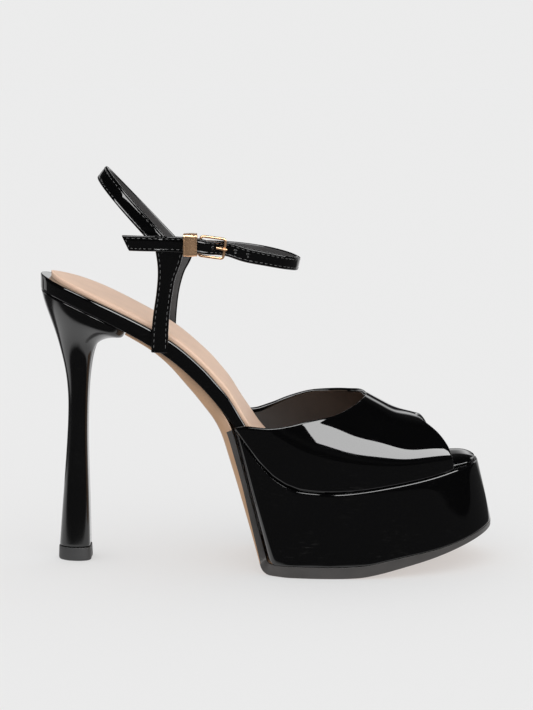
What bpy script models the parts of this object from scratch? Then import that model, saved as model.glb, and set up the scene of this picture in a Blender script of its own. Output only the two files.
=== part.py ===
"""Peep toe platform sandal for the right foot, with a very high heel and a buckled ankle strap.

Metres, +Z up. The toe points along +X, the inner side of the foot is +Y and the buckle side is -Y.
The origin lies on the floor, under the middle of the shoe's length and width.
"""
import math

import bmesh
import bpy
import numpy as np
from mathutils import Vector

# Driving sizes
LENGTH = 0.2173
BALL_WIDTH = 0.0860
HEEL_HEIGHT = 0.1326
PLATFORM_HEIGHT = 0.0406
TOE_SPRING = 0.0164
FOOTBED_SPRING = 0.0086
INSTEP_HEIGHT = 0.0388
GAP = 0.0003

# Sole and footbed
HEEL_ROUND = 0.0270
TOE_ROUND = 0.0640
PLATFORM_BACK_SHARE = 0.4225
PLATFORM_BACK_SLANT = 0.0167
PLATFORM_TOE_SLANT = 0.0070
PLATFORM_SIDE_SLANT = 0.0014
PLATFORM_CORNER = 0.0040
PLATFORM_EDGE_ROUND = 0.0010
OUTSOLE_THICKNESS = 0.0058
WAIST_THICKNESS = 0.0052
BOARD_THICKNESS = 0.0070
BOARD_EDGE_ROUND = 0.0012
BOARD_TOE_SETBACK = 0.0014
SOCK_THICKNESS = 0.0018
SOCK_INSET = 0.0026
SOCK_HEEL_INSET = 0.0050
SOCK_FRONT_SHARE = 0.780
SOCK_LAP_SHARES = (0.38, 0.43)
BOARD_TOE_SHARES = (0.915, 0.940)

# Upper
UPPER_WALL = 0.0020
FEATHER_INSET = 0.0022
SIDE_BULGE = 0.0012
SECTION_POWER = 2.5

# Heel
BREAST_SHARE = 0.1947
TIP_HEIGHT = 0.0064
TIP_OVERHANG = 0.0005

# Ankle strap and buckle
STRAP_WIDTH = 0.0072
STRAP_THICKNESS = 0.0022
STAY_THICKNESS = 0.0019
ANKLE_WIDTH = 0.0614
ANKLE_REACH = 0.0314
ANKLE_RISE = 0.0335
STRAP_RISE = 0.0209
MEDIAL_DROP = 0.0034
STAY_SHARE = 0.2850
BUCKLE_WIRE = 0.0013
BUCKLE_LENGTH = 0.0129
BUCKLE_DROP = 0.0017
BUCKLE_AHEAD = 0.0150
BUCKLE_CLEAR = 0.0003
PRONG_WIRE = 0.0011
KEEPER_LENGTH = 0.0064
KEEPER_WALL = 0.0010
FREE_END = 0.0207

# How finely round stretches are cut
CORNER_STEPS = 2
END_STEP = 0.00005
TIP_SHARE = 0.15
WIRE_SIDES = 8


def table(columns, *rows):
    """Rows of a hand made table, kept as one list for each named column."""
    return dict(zip(columns.split(), np.array(rows, float).T))


# Plan of the sole: along is a share of the length, the others are shares of half the ball width
OUTLINE = table(
    "along lateral medial swing",
    (0.00, 0.628, 0.616, 0.00),
    (0.14, 0.628, 0.616, 0.00),
    (0.25, 0.600, 0.565, 0.00),
    (0.34, 0.585, 0.515, 0.00),
    (0.40, 0.635, 0.535, 0.00),
    (0.45, 0.745, 0.635, 0.00),
    (0.50, 0.880, 0.775, 0.00),
    (0.55, 0.960, 0.890, 0.00),
    (0.63, 1.000, 0.985, 0.00),
    (0.70, 1.000, 1.000, 0.00),
    (0.82, 0.990, 0.990, 0.05),
    (1.00, 0.980, 0.980, 0.10),
)

# Underside of the footbed: fall is a share of the drop from heel to ball, lift of the footbed spring
FOOT_LINE = table(
    "along fall lift rand",
    (0.00, 1.000, 0.00, 0.95),
    (0.08, 0.928, 0.00, 0.95),
    (0.18, 0.812, 0.00, 1.00),
    (0.28, 0.670, 0.00, 1.05),
    (0.35, 0.525, 0.00, 1.00),
    (0.40, 0.392, 0.00, 0.90),
    (0.44, 0.260, 0.00, 0.75),
    (0.48, 0.138, 0.00, 0.65),
    (0.52, 0.054, 0.00, 0.58),
    (0.57, 0.008, 0.00, 0.52),
    (0.63, 0.000, 0.00, 0.50),
    (0.76, 0.000, 0.30, 0.48),
    (0.85, 0.000, 0.58, 0.48),
    (0.92, 0.000, 0.87, 0.48),
    (1.00, 0.000, 1.04, 0.48),
)

# Bottom of the outsole: lift is a share of the toe spring, sole a share of the outsole's thickness
FLOOR_LINE = table(
    "along lift sole",
    (0.00, 0.00, 1.00),
    (0.66, 0.00, 1.00),
    (0.70, 0.03, 1.00),
    (0.74, 0.12, 0.99),
    (0.78, 0.24, 0.93),
    (0.85, 0.44, 0.71),
    (0.92, 0.69, 0.52),
    (1.00, 1.00, 0.48),
)

# Vamp sections: crown is a share of the instep height, inset of the feather inset
VAMP = table(
    "along crown inset",
    (0.40, 1.45, 0.10),
    (0.47, 1.58, 0.75),
    (0.56, 1.54, 1.00),
    (0.65, 1.26, 1.00),
    (0.717, 1.00, 1.00),
    (0.75, 0.875, 1.00),
    (0.79, 0.735, 1.00),
    (0.83, 0.645, 1.00),
    (0.865, 0.560, 1.00),
    (0.90, 0.420, 1.00),
    (0.94, 0.200, 1.00),
)

# Top line of the throat and edge of the peep toe: turn goes from 0 at the sole to 1 at the crown
THROAT = table(
    "turn lateral medial",
    (0.00, 0.4250, 0.4250),
    (0.08, 0.4590, 0.4640),
    (0.18, 0.5035, 0.5000),
    (0.30, 0.5670, 0.5480),
    (0.37, 0.6090, 0.5860),
    (0.49, 0.6540, 0.6390),
    (0.66, 0.6880, 0.6900),
    (0.85, 0.7080, 0.7100),
    (1.00, 0.7170, 0.7170),
)
PEEP = table(
    "turn lateral medial",
    (0.00, 0.9080, 0.8820),
    (0.20, 0.9030, 0.8760),
    (0.40, 0.8940, 0.8670),
    (0.61, 0.8760, 0.8540),
    (0.80, 0.8510, 0.8410),
    (1.00, 0.8280, 0.8280),
)

# Outsole: stage 0 to 1 is the waist, 1 to 2 the platform's back, 2 to 3 its corner, 3 to 4 the forefoot;
# draft is how far its edge leans in towards the floor, as a share of its thickness
OUTSOLE = table(
    "stage thickness inset bevel draft",
    (0.00, 0.24, 0.90, 0.60, 0.00),
    (0.25, 0.30, 0.85, 0.70, 0.00),
    (0.45, 0.55, 0.85, 0.85, 0.00),
    (0.65, 0.90, 0.85, 0.90, 0.00),
    (0.90, 1.10, 0.90, 0.90, 0.00),
    (1.05, 1.05, 0.80, 0.70, 0.00),
    (1.40, 0.85, 0.60, 0.55, 0.00),
    (2.00, 0.70, 0.50, 0.40, 0.05),
    (3.00, 1.115, 0.40, 0.10, 0.20),
    (3.08, 1.115, 0.10, 0.06, 0.20),
    (4.00, 1.115, 0.00, 0.06, 0.20),
)

# Heel, from the tip up: x as shares of the length, z as shares of the way up to the seat
HEEL = table(
    "level back_x back_z front_x front_z width flute",
    (0.00, 0.0320, 0.000, 0.1030, 0.000, 0.280, 0.02),
    (0.16, 0.0405, 0.173, 0.1022, 0.204, 0.250, 0.02),
    (0.38, 0.0522, 0.409, 0.1000, 0.481, 0.222, 0.03),
    (0.54, 0.0566, 0.567, 0.1024, 0.667, 0.232, 0.05),
    (0.65, 0.0522, 0.670, 0.1075, 0.789, 0.290, 0.08),
    (0.74, 0.0426, 0.753, 0.1162, 0.880, 0.390, 0.12),
    (0.82, 0.0314, 0.828, 0.1300, 0.929, 0.560, 0.13),
    (0.90, 0.0176, 0.900, 0.1590, 0.949, 0.765, 0.13),
    (0.96, 0.0056, 0.960, 0.1885, 0.957, 0.920, 0.10),
    (1.00, 0.0004, 1.000, 0.1947, 1.000, 0.980, 0.05),
)

# Stays: rise is a share of the way up, inward of the way in to the ankle; places ahead of the stays'
# middle and widths are shares of the strap's width
STAY = table(
    "rise inward lean lateral lateral_width medial medial_width",
    (0.000, 0.00, 90, -0.55, 1.10, -0.38, 1.06),
    (0.100, 0.02, 90, -0.53, 1.10, -0.37, 1.06),
    (0.280, 0.15, 90, -0.46, 1.08, -0.28, 1.02),
    (0.580, 0.55, 90, -0.17, 1.05, 0.00, 1.06),
    (0.710, 0.76, 89, -0.04, 1.15, 0.15, 1.30),
    (0.855, 0.94, 87, 0.13, 1.58, 0.36, 1.85),
    (1.000, 1.00, 84, 0.17, 1.95, 0.42, 2.15),
)

# Front strap up to the buckle: ahead is a share of the ankle's reach, across of its half width, drop and
# width of the strap's width, medial of the medial drop
FRONT_STRAP = table(
    "ahead across drop medial lean width",
    (-0.03, 1.000, 0.06, 1.0, 8, 1.00),
    (0.25, 1.003, 0.14, 1.0, 8, 1.00),
    (0.64, 0.965, 0.18, 1.0, 8, 1.00),
    (1.08, 0.830, 0.26, 1.0, 10, 0.98),
    (1.46, 0.665, 0.44, 1.0, 11, 0.95),
    (1.78, 0.410, 0.69, 1.0, 12, 0.92),
    (1.93, 0.000, 1.32, 0.0, 12, 0.90),
    (1.78, -0.410, 1.13, 0.0, 12, 0.90),
    (1.46, -0.655, 0.78, 0.0, 13, 0.92),
    (1.15, -0.800, 0.45, 0.0, 13, 0.94),
)

BACK = -LENGTH / 2
TOE = LENGTH / 2
HALF_BALL = BALL_WIDTH / 2
PLATFORM_BACK_TOP = BACK + PLATFORM_BACK_SHARE * LENGTH
PLATFORM_BACK_LOW = PLATFORM_BACK_TOP + PLATFORM_BACK_SLANT
PLATFORM_FRONT_TOP = TOE - PLATFORM_TOE_SLANT
BREAST = BACK + BREAST_SHARE * LENGTH
STAY_X = BACK + STAY_SHARE * LENGTH
STRAP_HEIGHT = HEEL_HEIGHT + STRAP_RISE


def curve(rows, column, at, key="along"):
    """Smooth curve through one column of a table that never overshoots its rows."""
    keys, values = rows[key], rows[column]
    spans = np.diff(keys)
    rises = np.diff(values) / spans
    slopes = np.zeros(len(keys))
    slopes[0], slopes[-1] = rises[0], rises[-1]
    for i in range(1, len(keys) - 1):
        product = rises[i - 1] * rises[i]
        slopes[i] = 2 * product / (rises[i - 1] + rises[i]) if product > 0 else 0.0
    at = min(max(at, keys[0]), keys[-1])
    k = min(max(int(np.searchsorted(keys, at)) - 1, 0), len(spans) - 1)
    t = (at - keys[k]) / spans[k]
    start = (1 + 2 * t) * (1 - t) ** 2 * values[k] + t * (1 - t) ** 2 * spans[k] * slopes[k]
    end = t * t * (3 - 2 * t) * values[k + 1] - t * t * (1 - t) * spans[k] * slopes[k + 1]
    return float(start + end)


def share(x):
    """Share of the length at a place along the shoe."""
    return (x - BACK) / LENGTH


def mix(a, b, t):
    """Value a share t of the way from a to b."""
    return a + (b - a) * t


def ramp(at, start, end):
    """Share that rises from 0 at start to 1 at end."""
    return min(max((at - start) / (end - start), 0.0), 1.0)


def foot_line(x):
    """Height of the surface that carries the footbed."""
    fall = curve(FOOT_LINE, "fall", share(x)) * (HEEL_HEIGHT - PLATFORM_HEIGHT)
    return PLATFORM_HEIGHT + fall + curve(FOOT_LINE, "lift", share(x)) * FOOTBED_SPRING


def floor_line(x):
    """Height of the bottom of the outsole under the platform."""
    return curve(FLOOR_LINE, "lift", share(x)) * TOE_SPRING


def sole_depth(x):
    """Thickness of the outsole under the platform, less towards the toe."""
    return curve(FLOOR_LINE, "sole", share(x)) * OUTSOLE_THICKNESS


def slope_stretch(x):
    """How much longer a vertical cut through a sloping layer is than its thickness."""
    step = LENGTH / 400
    return math.hypot(1, (foot_line(x + step) - foot_line(x - step)) / (2 * step))


def footbed_top(x):
    """Height of the top of the board."""
    return foot_line(x) + GAP + BOARD_THICKNESS * curve(FOOT_LINE, "rand", share(x)) * slope_stretch(x)


def end_round(distance, reach):
    """Share of the full width that a round end leaves at a distance from its tip."""
    t = min(max(1 - distance / reach, 0.0), 1.0)
    return math.sqrt(1 - t * t)


def edges(x, back=BACK, front=TOE, inset=0.0):
    """Lateral and medial edge of the outline at x, for a piece with its own back, front and inset."""
    at = share(x)
    end = end_round(x - back, HEEL_ROUND) * end_round(front - x, TOE_ROUND)
    swing = curve(OUTLINE, "swing", at) * HALF_BALL
    lateral = curve(OUTLINE, "lateral", at) * HALF_BALL * end
    medial = curve(OUTLINE, "medial", at) * HALF_BALL * end
    return swing - max(lateral - inset, lateral * TIP_SHARE), swing + max(medial - inset, medial * TIP_SHARE)


def arc_places(tip, reach, count):
    """Places from the tip of a round end to where it is full, equally spaced round its arc."""
    first = math.copysign(END_STEP, reach)
    return [tip + first + (reach - first) * (1 - math.cos(math.pi / 2 * i / (count - 1))) for i in range(count)]


def stations(start, end, start_reach=0.0, end_reach=0.0):
    """Places along the sole, closer together on round ends and where the footbed bends most."""
    head = arc_places(start, start_reach, 10) if start_reach else [start]
    tail = arc_places(end, -end_reach, 14) if end_reach else [end]
    shares = (*np.arange(0.0, 0.36, 0.03), *np.arange(0.36, 0.60, 0.012), *np.arange(0.60, 1.0, 0.03))
    margin = LENGTH / 200
    middle = [BACK + LENGTH * at for at in shares if head[-1] + margin < BACK + LENGTH * at < tail[-1] - margin]
    return head + middle + tail[::-1]


def rounded_box(left, right, low, high, low_round, high_round, steps=CORNER_STEPS):
    """Points round a section with rounded corners, from the low left corner upward."""
    points = []
    limit = 0.49 * min(right - left, high - low)
    corners = ((left, low, 1, 1, low_round), (left, high, 1, -1, high_round),
               (right, high, -1, -1, high_round), (right, low, -1, 1, low_round))
    for index, (y, z, in_y, in_z, radius) in enumerate(corners):
        radius = min(radius, limit)
        turns = [math.pi / 2 * i / steps for i in range(steps + 1)]
        if index % 2:
            turns.reverse()
        for turn in turns:
            points.append((y + in_y * radius * (1 - math.sin(turn)), z + in_z * radius * (1 - math.cos(turn))))
    return points


def add_object(name, vertices, faces, colour, roughness, metallic, smooth=35.0):
    """A named object with its own material, its faces turned outward and its round parts smooth."""
    mesh = bpy.data.meshes.new(name)
    mesh.from_pydata([tuple(v) for v in vertices], [], faces)
    form = bmesh.new()
    form.from_mesh(mesh)
    bmesh.ops.recalc_face_normals(form, faces=form.faces)
    form.to_mesh(mesh)
    form.free()
    mesh.shade_smooth()
    mesh.set_sharp_from_angle(angle=math.radians(smooth))
    material = bpy.data.materials.new(name)
    material.use_nodes = True
    shader = material.node_tree.nodes["Principled BSDF"]
    shader.inputs["Base Color"].default_value = (*colour, 1.0)
    shader.inputs["Roughness"].default_value = roughness
    shader.inputs["Metallic"].default_value = metallic
    mesh.materials.append(material)
    part = bpy.data.objects.new(name, mesh)
    bpy.context.scene.collection.objects.link(part)
    return part


def loft(rings):
    """Vertices and faces of a closed solid through rings of equally many points."""
    count = len(rings[0])
    vertices = [point for ring in rings for point in ring]
    faces = []
    for i in range(len(rings) - 1):
        for j in range(count):
            k = (j + 1) % count
            faces.append((i * count + j, i * count + k, (i + 1) * count + k, (i + 1) * count + j))
    for i in (0, len(rings) - 1):
        vertices.append(tuple(np.mean(np.array(rings[i]), axis=0)))
        middle = len(vertices) - 1
        faces += [(middle, i * count + j, i * count + (j + 1) % count) for j in range(count)]
    return vertices, faces


def closed_loop(rings):
    """Vertices and faces of a ring shaped solid, such as a bent wire whose ends meet."""
    count, total = len(rings[0]), len(rings)
    vertices = [point for ring in rings for point in ring]
    faces = []
    for i in range(total):
        n = (i + 1) % total
        for j in range(count):
            k = (j + 1) % count
            faces.append((i * count + j, i * count + k, n * count + k, n * count + j))
    return vertices, faces


BLACK_PATENT = ((0.006, 0.006, 0.007), 0.06, 0.0)
BEIGE_LEATHER = ((0.52, 0.36, 0.22), 0.45, 0.0)
ROSE_GOLD = ((0.86, 0.52, 0.36), 0.12, 1.0)
DARK_RUBBER = ((0.035, 0.035, 0.037), 0.6, 0.0)


def make_board():
    """Full length board with its rand; inside the vamp it steps in behind the wall."""
    front = PLATFORM_FRONT_TOP - BOARD_TOE_SETBACK
    lap_start, lap_end = share(PLATFORM_BACK_TOP) - 0.030, share(PLATFORM_BACK_TOP)
    tuck = 1.4 * UPPER_WALL + 4 * GAP
    rings = []
    for x in stations(BACK, front, HEEL_ROUND, TOE_ROUND):
        lap = ramp(share(x), lap_start, lap_end) * (1 - 0.9 * ramp(share(x), *BOARD_TOE_SHARES))
        lateral, medial = edges(x, front=front, inset=lap * (FEATHER_INSET * vamp_inset(x) + tuck))
        edge = BOARD_EDGE_ROUND * (1 + ramp(share(x), SOCK_FRONT_SHARE, BOARD_TOE_SHARES[0]))
        box = rounded_box(lateral, medial, foot_line(x) + GAP, footbed_top(x), BOARD_EDGE_ROUND / 3, edge)
        rings.append([(x, y, z) for y, z in box])
    return add_object("insole_board", *loft(rings), *BLACK_PATENT)


def vamp_inset(x):
    """Inset of the vamp's foot from the outline, as a share of the feather inset."""
    return curve(VAMP, "inset", share(x))


def make_sock():
    """Thin padded sock on the board, short of the peep toe."""
    back, front = BACK + SOCK_HEEL_INSET, BACK + SOCK_FRONT_SHARE * LENGTH
    board_front = PLATFORM_FRONT_TOP - BOARD_TOE_SETBACK
    rings = []
    for x in stations(back, front, HEEL_ROUND):
        inset = SOCK_INSET + ramp(share(x), *SOCK_LAP_SHARES) * (FEATHER_INSET + UPPER_WALL)
        lateral, medial = edges(x, back=back, front=board_front, inset=inset)
        low = footbed_top(x) + GAP
        box = rounded_box(lateral, medial, low, low + SOCK_THICKNESS * slope_stretch(x), 0.0, SOCK_THICKNESS / 2)
        rings.append([(x, y, z) for y, z in box])
    return add_object("sock_lining", *loft(rings), *BEIGE_LEATHER)


def corner_cut(distance):
    """How far a rounded corner of the platform's back lies inside its square outline."""
    rest = max(PLATFORM_CORNER - distance, 0.0)
    return PLATFORM_CORNER - math.sqrt(PLATFORM_CORNER ** 2 - rest ** 2)


def make_platform():
    """Block between footbed and outsole, with a slanting back and a slanting toe."""
    span = PLATFORM_FRONT_TOP - PLATFORM_BACK_TOP
    corner = [PLATFORM_BACK_TOP + PLATFORM_CORNER * (1 - math.cos(math.radians(a))) for a in (0, 25, 50, 75)]
    rings = []
    for high_x in corner + stations(PLATFORM_BACK_TOP + PLATFORM_CORNER, PLATFORM_FRONT_TOP, 0, TOE_ROUND):
        level = (high_x - PLATFORM_BACK_TOP) / span
        low_x = mix(PLATFORM_BACK_LOW, TOE, level)
        cut = corner_cut(level * span)
        high_edges = edges(high_x, front=PLATFORM_FRONT_TOP, inset=PLATFORM_SIDE_SLANT + cut)
        low_edges = edges(low_x, inset=cut)
        high = foot_line(high_x)
        low = floor_line(low_x) + sole_depth(low_x) + GAP + cut
        width = (high_edges[1] - high_edges[0] + low_edges[1] - low_edges[0]) / 2
        ring = []
        for y, z in rounded_box(-width / 2, width / 2, 0, high - low, GAP, PLATFORM_EDGE_ROUND):
            up, across = z / (high - low), y / width + 0.5
            lateral, medial = mix(low_edges[0], high_edges[0], up), mix(low_edges[1], high_edges[1], up)
            ring.append((mix(low_x, high_x, up), mix(lateral, medial, across), low + z))
        rings.append(ring)
    return add_object("platform", *loft(rings), *BLACK_PATENT)


def outsole_path():
    """Stage, x and z along the outsole's inner face, from the heel breast to the toe."""
    path = []
    start, stop = BREAST + 2 * GAP, PLATFORM_BACK_TOP - 3 * GAP
    for i in range(15):
        x = mix(start, stop, i / 15)
        path.append((i / 15, x, foot_line(x)))
    low = OUTSOLE_THICKNESS
    slant = Vector((PLATFORM_BACK_SLANT, low + GAP - foot_line(PLATFORM_BACK_TOP))).normalized()
    outward = Vector((slant.y, -slant.x))
    turn = math.acos(slant.x)
    radius = PLATFORM_CORNER / 2
    tangent = radius * math.tan(turn / 2)
    top = Vector((PLATFORM_BACK_TOP, foot_line(PLATFORM_BACK_TOP))) + outward * 1.5 * GAP
    corner = top + slant * (low - top.y) / slant.y
    first = top + slant * 6 * GAP
    last = corner - slant * tangent
    for i in range(8):
        point = first.lerp(last, i / 7)
        path.append((1 + i / 8, point.x, point.y))
    middle = last - outward * radius
    for i in range(1, 5):
        angle = turn * (1 - i / 5)
        path.append((2 + i / 5, middle.x - radius * math.sin(angle), middle.y - radius * math.cos(angle)))
    heel_side = corner.x + tangent
    for x in stations(heel_side, TOE, 0, TOE_ROUND):
        path.append((3 + (x - heel_side) / (TOE - heel_side), x, floor_line(x) + sole_depth(x)))
    return path


def make_outsole():
    """One leather sole: the waist under the arch, down the platform's back and along its bottom."""
    path = outsole_path()
    rings = []
    for i, (stage, x, z) in enumerate(path):
        before, after = path[max(i - 1, 0)], path[min(i + 1, len(path) - 1)]
        along = Vector((after[1] - before[1], after[2] - before[2])).normalized()
        outward = Vector((along.y, -along.x))
        thickness = curve(OUTSOLE, "thickness", stage, "stage") * WAIST_THICKNESS
        if stage >= 3:
            thickness, outward = sole_depth(x), Vector((0, -1))
        inset = curve(OUTSOLE, "inset", stage, "stage") * PLATFORM_CORNER * 0.9
        bevel = curve(OUTSOLE, "bevel", stage, "stage") * thickness
        side = x
        if 1 <= stage < 3:
            side = mix(PLATFORM_BACK_TOP, PLATFORM_BACK_LOW, (stage - 1) / 2)
        lateral, medial = edges(side, inset=inset)
        middle, half = (lateral + medial) / 2, (medial - lateral) / 2
        lean = min(curve(OUTSOLE, "draft", stage, "stage") * thickness, half / 2) / half / thickness
        ring = []
        for y, depth in rounded_box(lateral, medial, -thickness, 0, bevel, GAP):
            ring.append((x - outward.x * depth, middle + (y - middle) * (1 + lean * depth), z - outward.y * depth))
        rings.append(ring)
    return add_object("outsole", *loft(rings), *BEIGE_LEATHER)


def heel_ring(level, grow=0.0, drop=None):
    """Points round the heel at a level, round at the back and hollow at the front."""
    floor = TIP_HEIGHT + GAP
    back_x = BACK + curve(HEEL, "back_x", level, "level") * LENGTH - grow
    front_x = BACK + curve(HEEL, "front_x", level, "level") * LENGTH + grow
    seat_back, seat_front = foot_line(BACK), foot_line(BREAST)
    back_z = mix(floor, seat_back, curve(HEEL, "back_z", level, "level"))
    front_z = mix(floor, seat_front, curve(HEEL, "front_z", level, "level"))
    seat = edges(BACK + HEEL_ROUND)
    half = (seat[1] - seat[0]) / 2 * curve(HEEL, "width", level, "level") + grow
    flute = curve(HEEL, "flute", level, "level")
    round_share = 0.62
    outline = []
    for step in range(9):
        turn = math.pi / 2 * step / 8
        outline.append((round_share * (1 - math.cos(turn)), math.sin(turn)))
    outline += [(0.80, 0.97), (0.93, 0.83), (0.99, 0.62)]
    outline += [(1 - 0.5 * flute, 0.34), (1 - flute, 0.0)]
    ring = []
    for along, across in outline:
        ring.append((along, -across))
    for along, across in reversed(outline[1:-1]):
        ring.append((along, across))
    points = []
    for along, across in ring:
        x = mix(back_x, front_x, along)
        z = mix(back_z, front_z, along)
        if drop is None:
            chord = mix(seat_back, seat_front, along)
            z += (foot_line(x) - chord) * level ** 10
        else:
            z = drop
        points.append((x, (seat[0] + seat[1]) / 2 + half * across, z))
    return points


def make_heel():
    """Tall heel that flares up to the seat, with a hollow front."""
    levels = [0.0, 0.08, 0.16, 0.27, 0.38, 0.46, 0.54, 0.60, 0.65, 0.70, 0.74, 0.78, 0.82, 0.86, 0.90,
              0.93, 0.96, 0.98, 1.0]
    return add_object("heel", *loft([heel_ring(level) for level in levels]), *BLACK_PATENT)


def make_heel_tip():
    """Rubber top piece that the heel stands on."""
    rings = [heel_ring(0, TIP_OVERHANG - GAP, 0.0), heel_ring(0, TIP_OVERHANG, GAP),
             heel_ring(0, TIP_OVERHANG / 2, TIP_HEIGHT)]
    return add_object("heel_tip", *loft(rings), *DARK_RUBBER)


def vamp_point(x, turn):
    """Point of the vamp's outer face: turn runs from 0 at the lateral sole to 2 at the medial one."""
    angle = math.pi / 2 * turn
    lateral, medial = edges(x, front=PLATFORM_FRONT_TOP, inset=FEATHER_INSET * vamp_inset(x))
    power = 2 / SECTION_POWER
    up = abs(math.sin(angle)) ** power
    across = math.copysign(abs(math.cos(angle)) ** power, -math.cos(angle))
    half = (medial - lateral) / 2 + SIDE_BULGE * 4 * up * (1 - up)
    y = (medial + lateral) / 2 + half * across
    z = foot_line(x) + GAP + INSTEP_HEIGHT * curve(VAMP, "crown", share(x)) * up
    return np.array((x, y, z))


def make_upper():
    """Vamp: one wall over the forefoot, open at the throat, at the peep toe and underneath."""
    around, along = 40, 18
    outer = np.zeros((around + 1, along + 1, 3))
    for j in range(around + 1):
        turn = 2 * j / around
        from_sole = min(turn, 2 - turn)
        side = "lateral" if turn <= 1 else "medial"
        start = BACK + curve(THROAT, side, from_sole, "turn") * LENGTH
        stop = BACK + curve(PEEP, side, from_sole, "turn") * LENGTH
        for i in range(along + 1):
            outer[j, i] = vamp_point(mix(start, stop, i / along), turn)
    across, forward = np.gradient(outer, axis=0), np.gradient(outer, axis=1)
    normals = np.cross(forward, across)
    normals /= np.linalg.norm(normals, axis=2, keepdims=True)
    if normals[around // 2, along // 2, 2] < 0:
        normals = -normals
    inner = outer - normals * UPPER_WALL
    for j in (0, around):
        inner[j, :, 2] = outer[j, :, 2]
    vertices = np.concatenate((outer.reshape(-1, 3), inner.reshape(-1, 3)))
    row, layer = along + 1, (around + 1) * (along + 1)
    faces = []
    for j in range(around):
        for i in range(along):
            a = j * row + i
            faces.append((a, a + 1, a + row + 1, a + row))
            faces.append((layer + a + row, layer + a + row + 1, layer + a + 1, layer + a))
    rim = [i for i in range(along)] + [j * row + along for j in range(around)]
    rim += [around * row + i for i in range(along, 0, -1)] + [j * row for j in range(around, 0, -1)]
    for a, b in zip(rim, rim[1:] + rim[:1]):
        faces.append((b, a, layer + a, layer + b))
    return add_object("upper", vertices, faces, *BLACK_PATENT)


def smooth_path(points, count):
    """Points of a smooth curve through the rows of a route."""
    rows = np.array(points, float)
    lengths = np.concatenate(([0], np.cumsum(np.linalg.norm(np.diff(rows[:, :3], axis=0), axis=1))))
    slopes = np.gradient(rows, lengths, axis=0)
    out = []
    for place in np.linspace(0, lengths[-1], count):
        k = min(max(int(np.searchsorted(lengths, place)) - 1, 0), len(rows) - 2)
        span = lengths[k + 1] - lengths[k]
        t = (place - lengths[k]) / span
        start = (1 + 2 * t) * (1 - t) ** 2 * rows[k] + t * (1 - t) ** 2 * span * slopes[k]
        end = t * t * (3 - 2 * t) * rows[k + 1] - t * t * (1 - t) * span * slopes[k + 1]
        out.append(start + end)
    return np.array(out)


def ribbon(rows, count, thickness, cut=0.0):
    """Rings of a flat strap: rows hold x, y, z, the lean of its width in degrees and its width."""
    path = smooth_path(rows, count)
    directions = np.gradient(path[:, :3], axis=0)
    rings = []
    for i, (x, y, z, lean, width) in enumerate(path):
        along = Vector(directions[i]).normalized()
        up = Vector((math.sin(math.radians(lean)), 0, math.cos(math.radians(lean))))
        up = (up - along * up.dot(along)).normalized()
        side = along.cross(up)
        centre = Vector((x, y, z))
        ring = []
        for a, b in rounded_box(-thickness / 2, thickness / 2, -width / 2, width / 2, thickness / 4,
                                thickness / 4, 1):
            point = centre + side * a + up * b
            if i == count - 1:
                point -= along * cut * (0.5 - b / width)
            ring.append(tuple(point))
        rings.append(ring)
    return rings


# Places on the ankle strap, worked out from its named sizes
HALF_ANKLE = ANKLE_WIDTH / 2
LAYER = STRAP_THICKNESS + GAP
BAR_CLEAR = BUCKLE_WIRE / 2 + GAP + STRAP_THICKNESS / 2
BUCKLE_BACK = STAY_X + BUCKLE_AHEAD
BUCKLE_FRONT = BUCKLE_BACK + BUCKLE_LENGTH - BUCKLE_WIRE
TAB_Y = -HALF_ANKLE
FRONT_BAR_Y = TAB_Y + STRAP_WIDTH / 6
BUCKLE_Z = STRAP_HEIGHT + STRAP_WIDTH * 0.22


def rear_rows():
    """Back strap: half an ellipse in a slanting plane, from the lateral stay to the medial one."""
    rows = []
    for i in range(13):
        angle = math.pi * i / 12
        reach = math.sin(angle)
        rows.append((STAY_X - ANKLE_REACH * reach, -HALF_ANKLE * math.cos(angle),
                     STRAP_HEIGHT + ANKLE_RISE * reach - MEDIAL_DROP * max(-math.cos(angle), 0.0),
                     44 - 6 * reach, STRAP_WIDTH))
    return rows


def stay_rows(side):
    """Stay from the rand up to the ankle strap, on the lateral (-1) or medial (1) side."""
    column = "lateral" if side < 0 else "medial"
    foot_x = STAY_X + STAY["lateral"][0] * STRAP_WIDTH
    widest = edges(foot_x - STRAP_WIDTH / 2)[0 if side < 0 else 1]
    edge = widest + side * (2 * GAP + STAY_THICKNESS / 2)
    foot = foot_line(foot_x) + 2 * GAP
    rise = STRAP_HEIGHT + STRAP_WIDTH * 0.28 - foot - MEDIAL_DROP * max(side, 0)
    rows = []
    for i, at in enumerate(STAY["rise"]):
        rows.append((STAY_X + STAY[column][i] * STRAP_WIDTH, mix(edge, side * HALF_ANKLE, STAY["inward"][i]),
                     foot + at * rise, STAY["lean"][i], STAY[column + "_width"][i] * STRAP_WIDTH))
    return rows


def tab_rows():
    """Short strap that carries the buckle on the lateral side."""
    width = STRAP_WIDTH * 0.98
    return [
        (STAY_X - STRAP_WIDTH * 0.4, TAB_Y, STRAP_HEIGHT + STRAP_WIDTH * 0.31, 4, width),
        (STAY_X + STRAP_WIDTH * 0.8, TAB_Y, STRAP_HEIGHT + STRAP_WIDTH * 0.28, 8, width),
        (BUCKLE_BACK - BUCKLE_WIRE / 2 - GAP, TAB_Y, BUCKLE_Z, 12, width),
    ]


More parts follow.
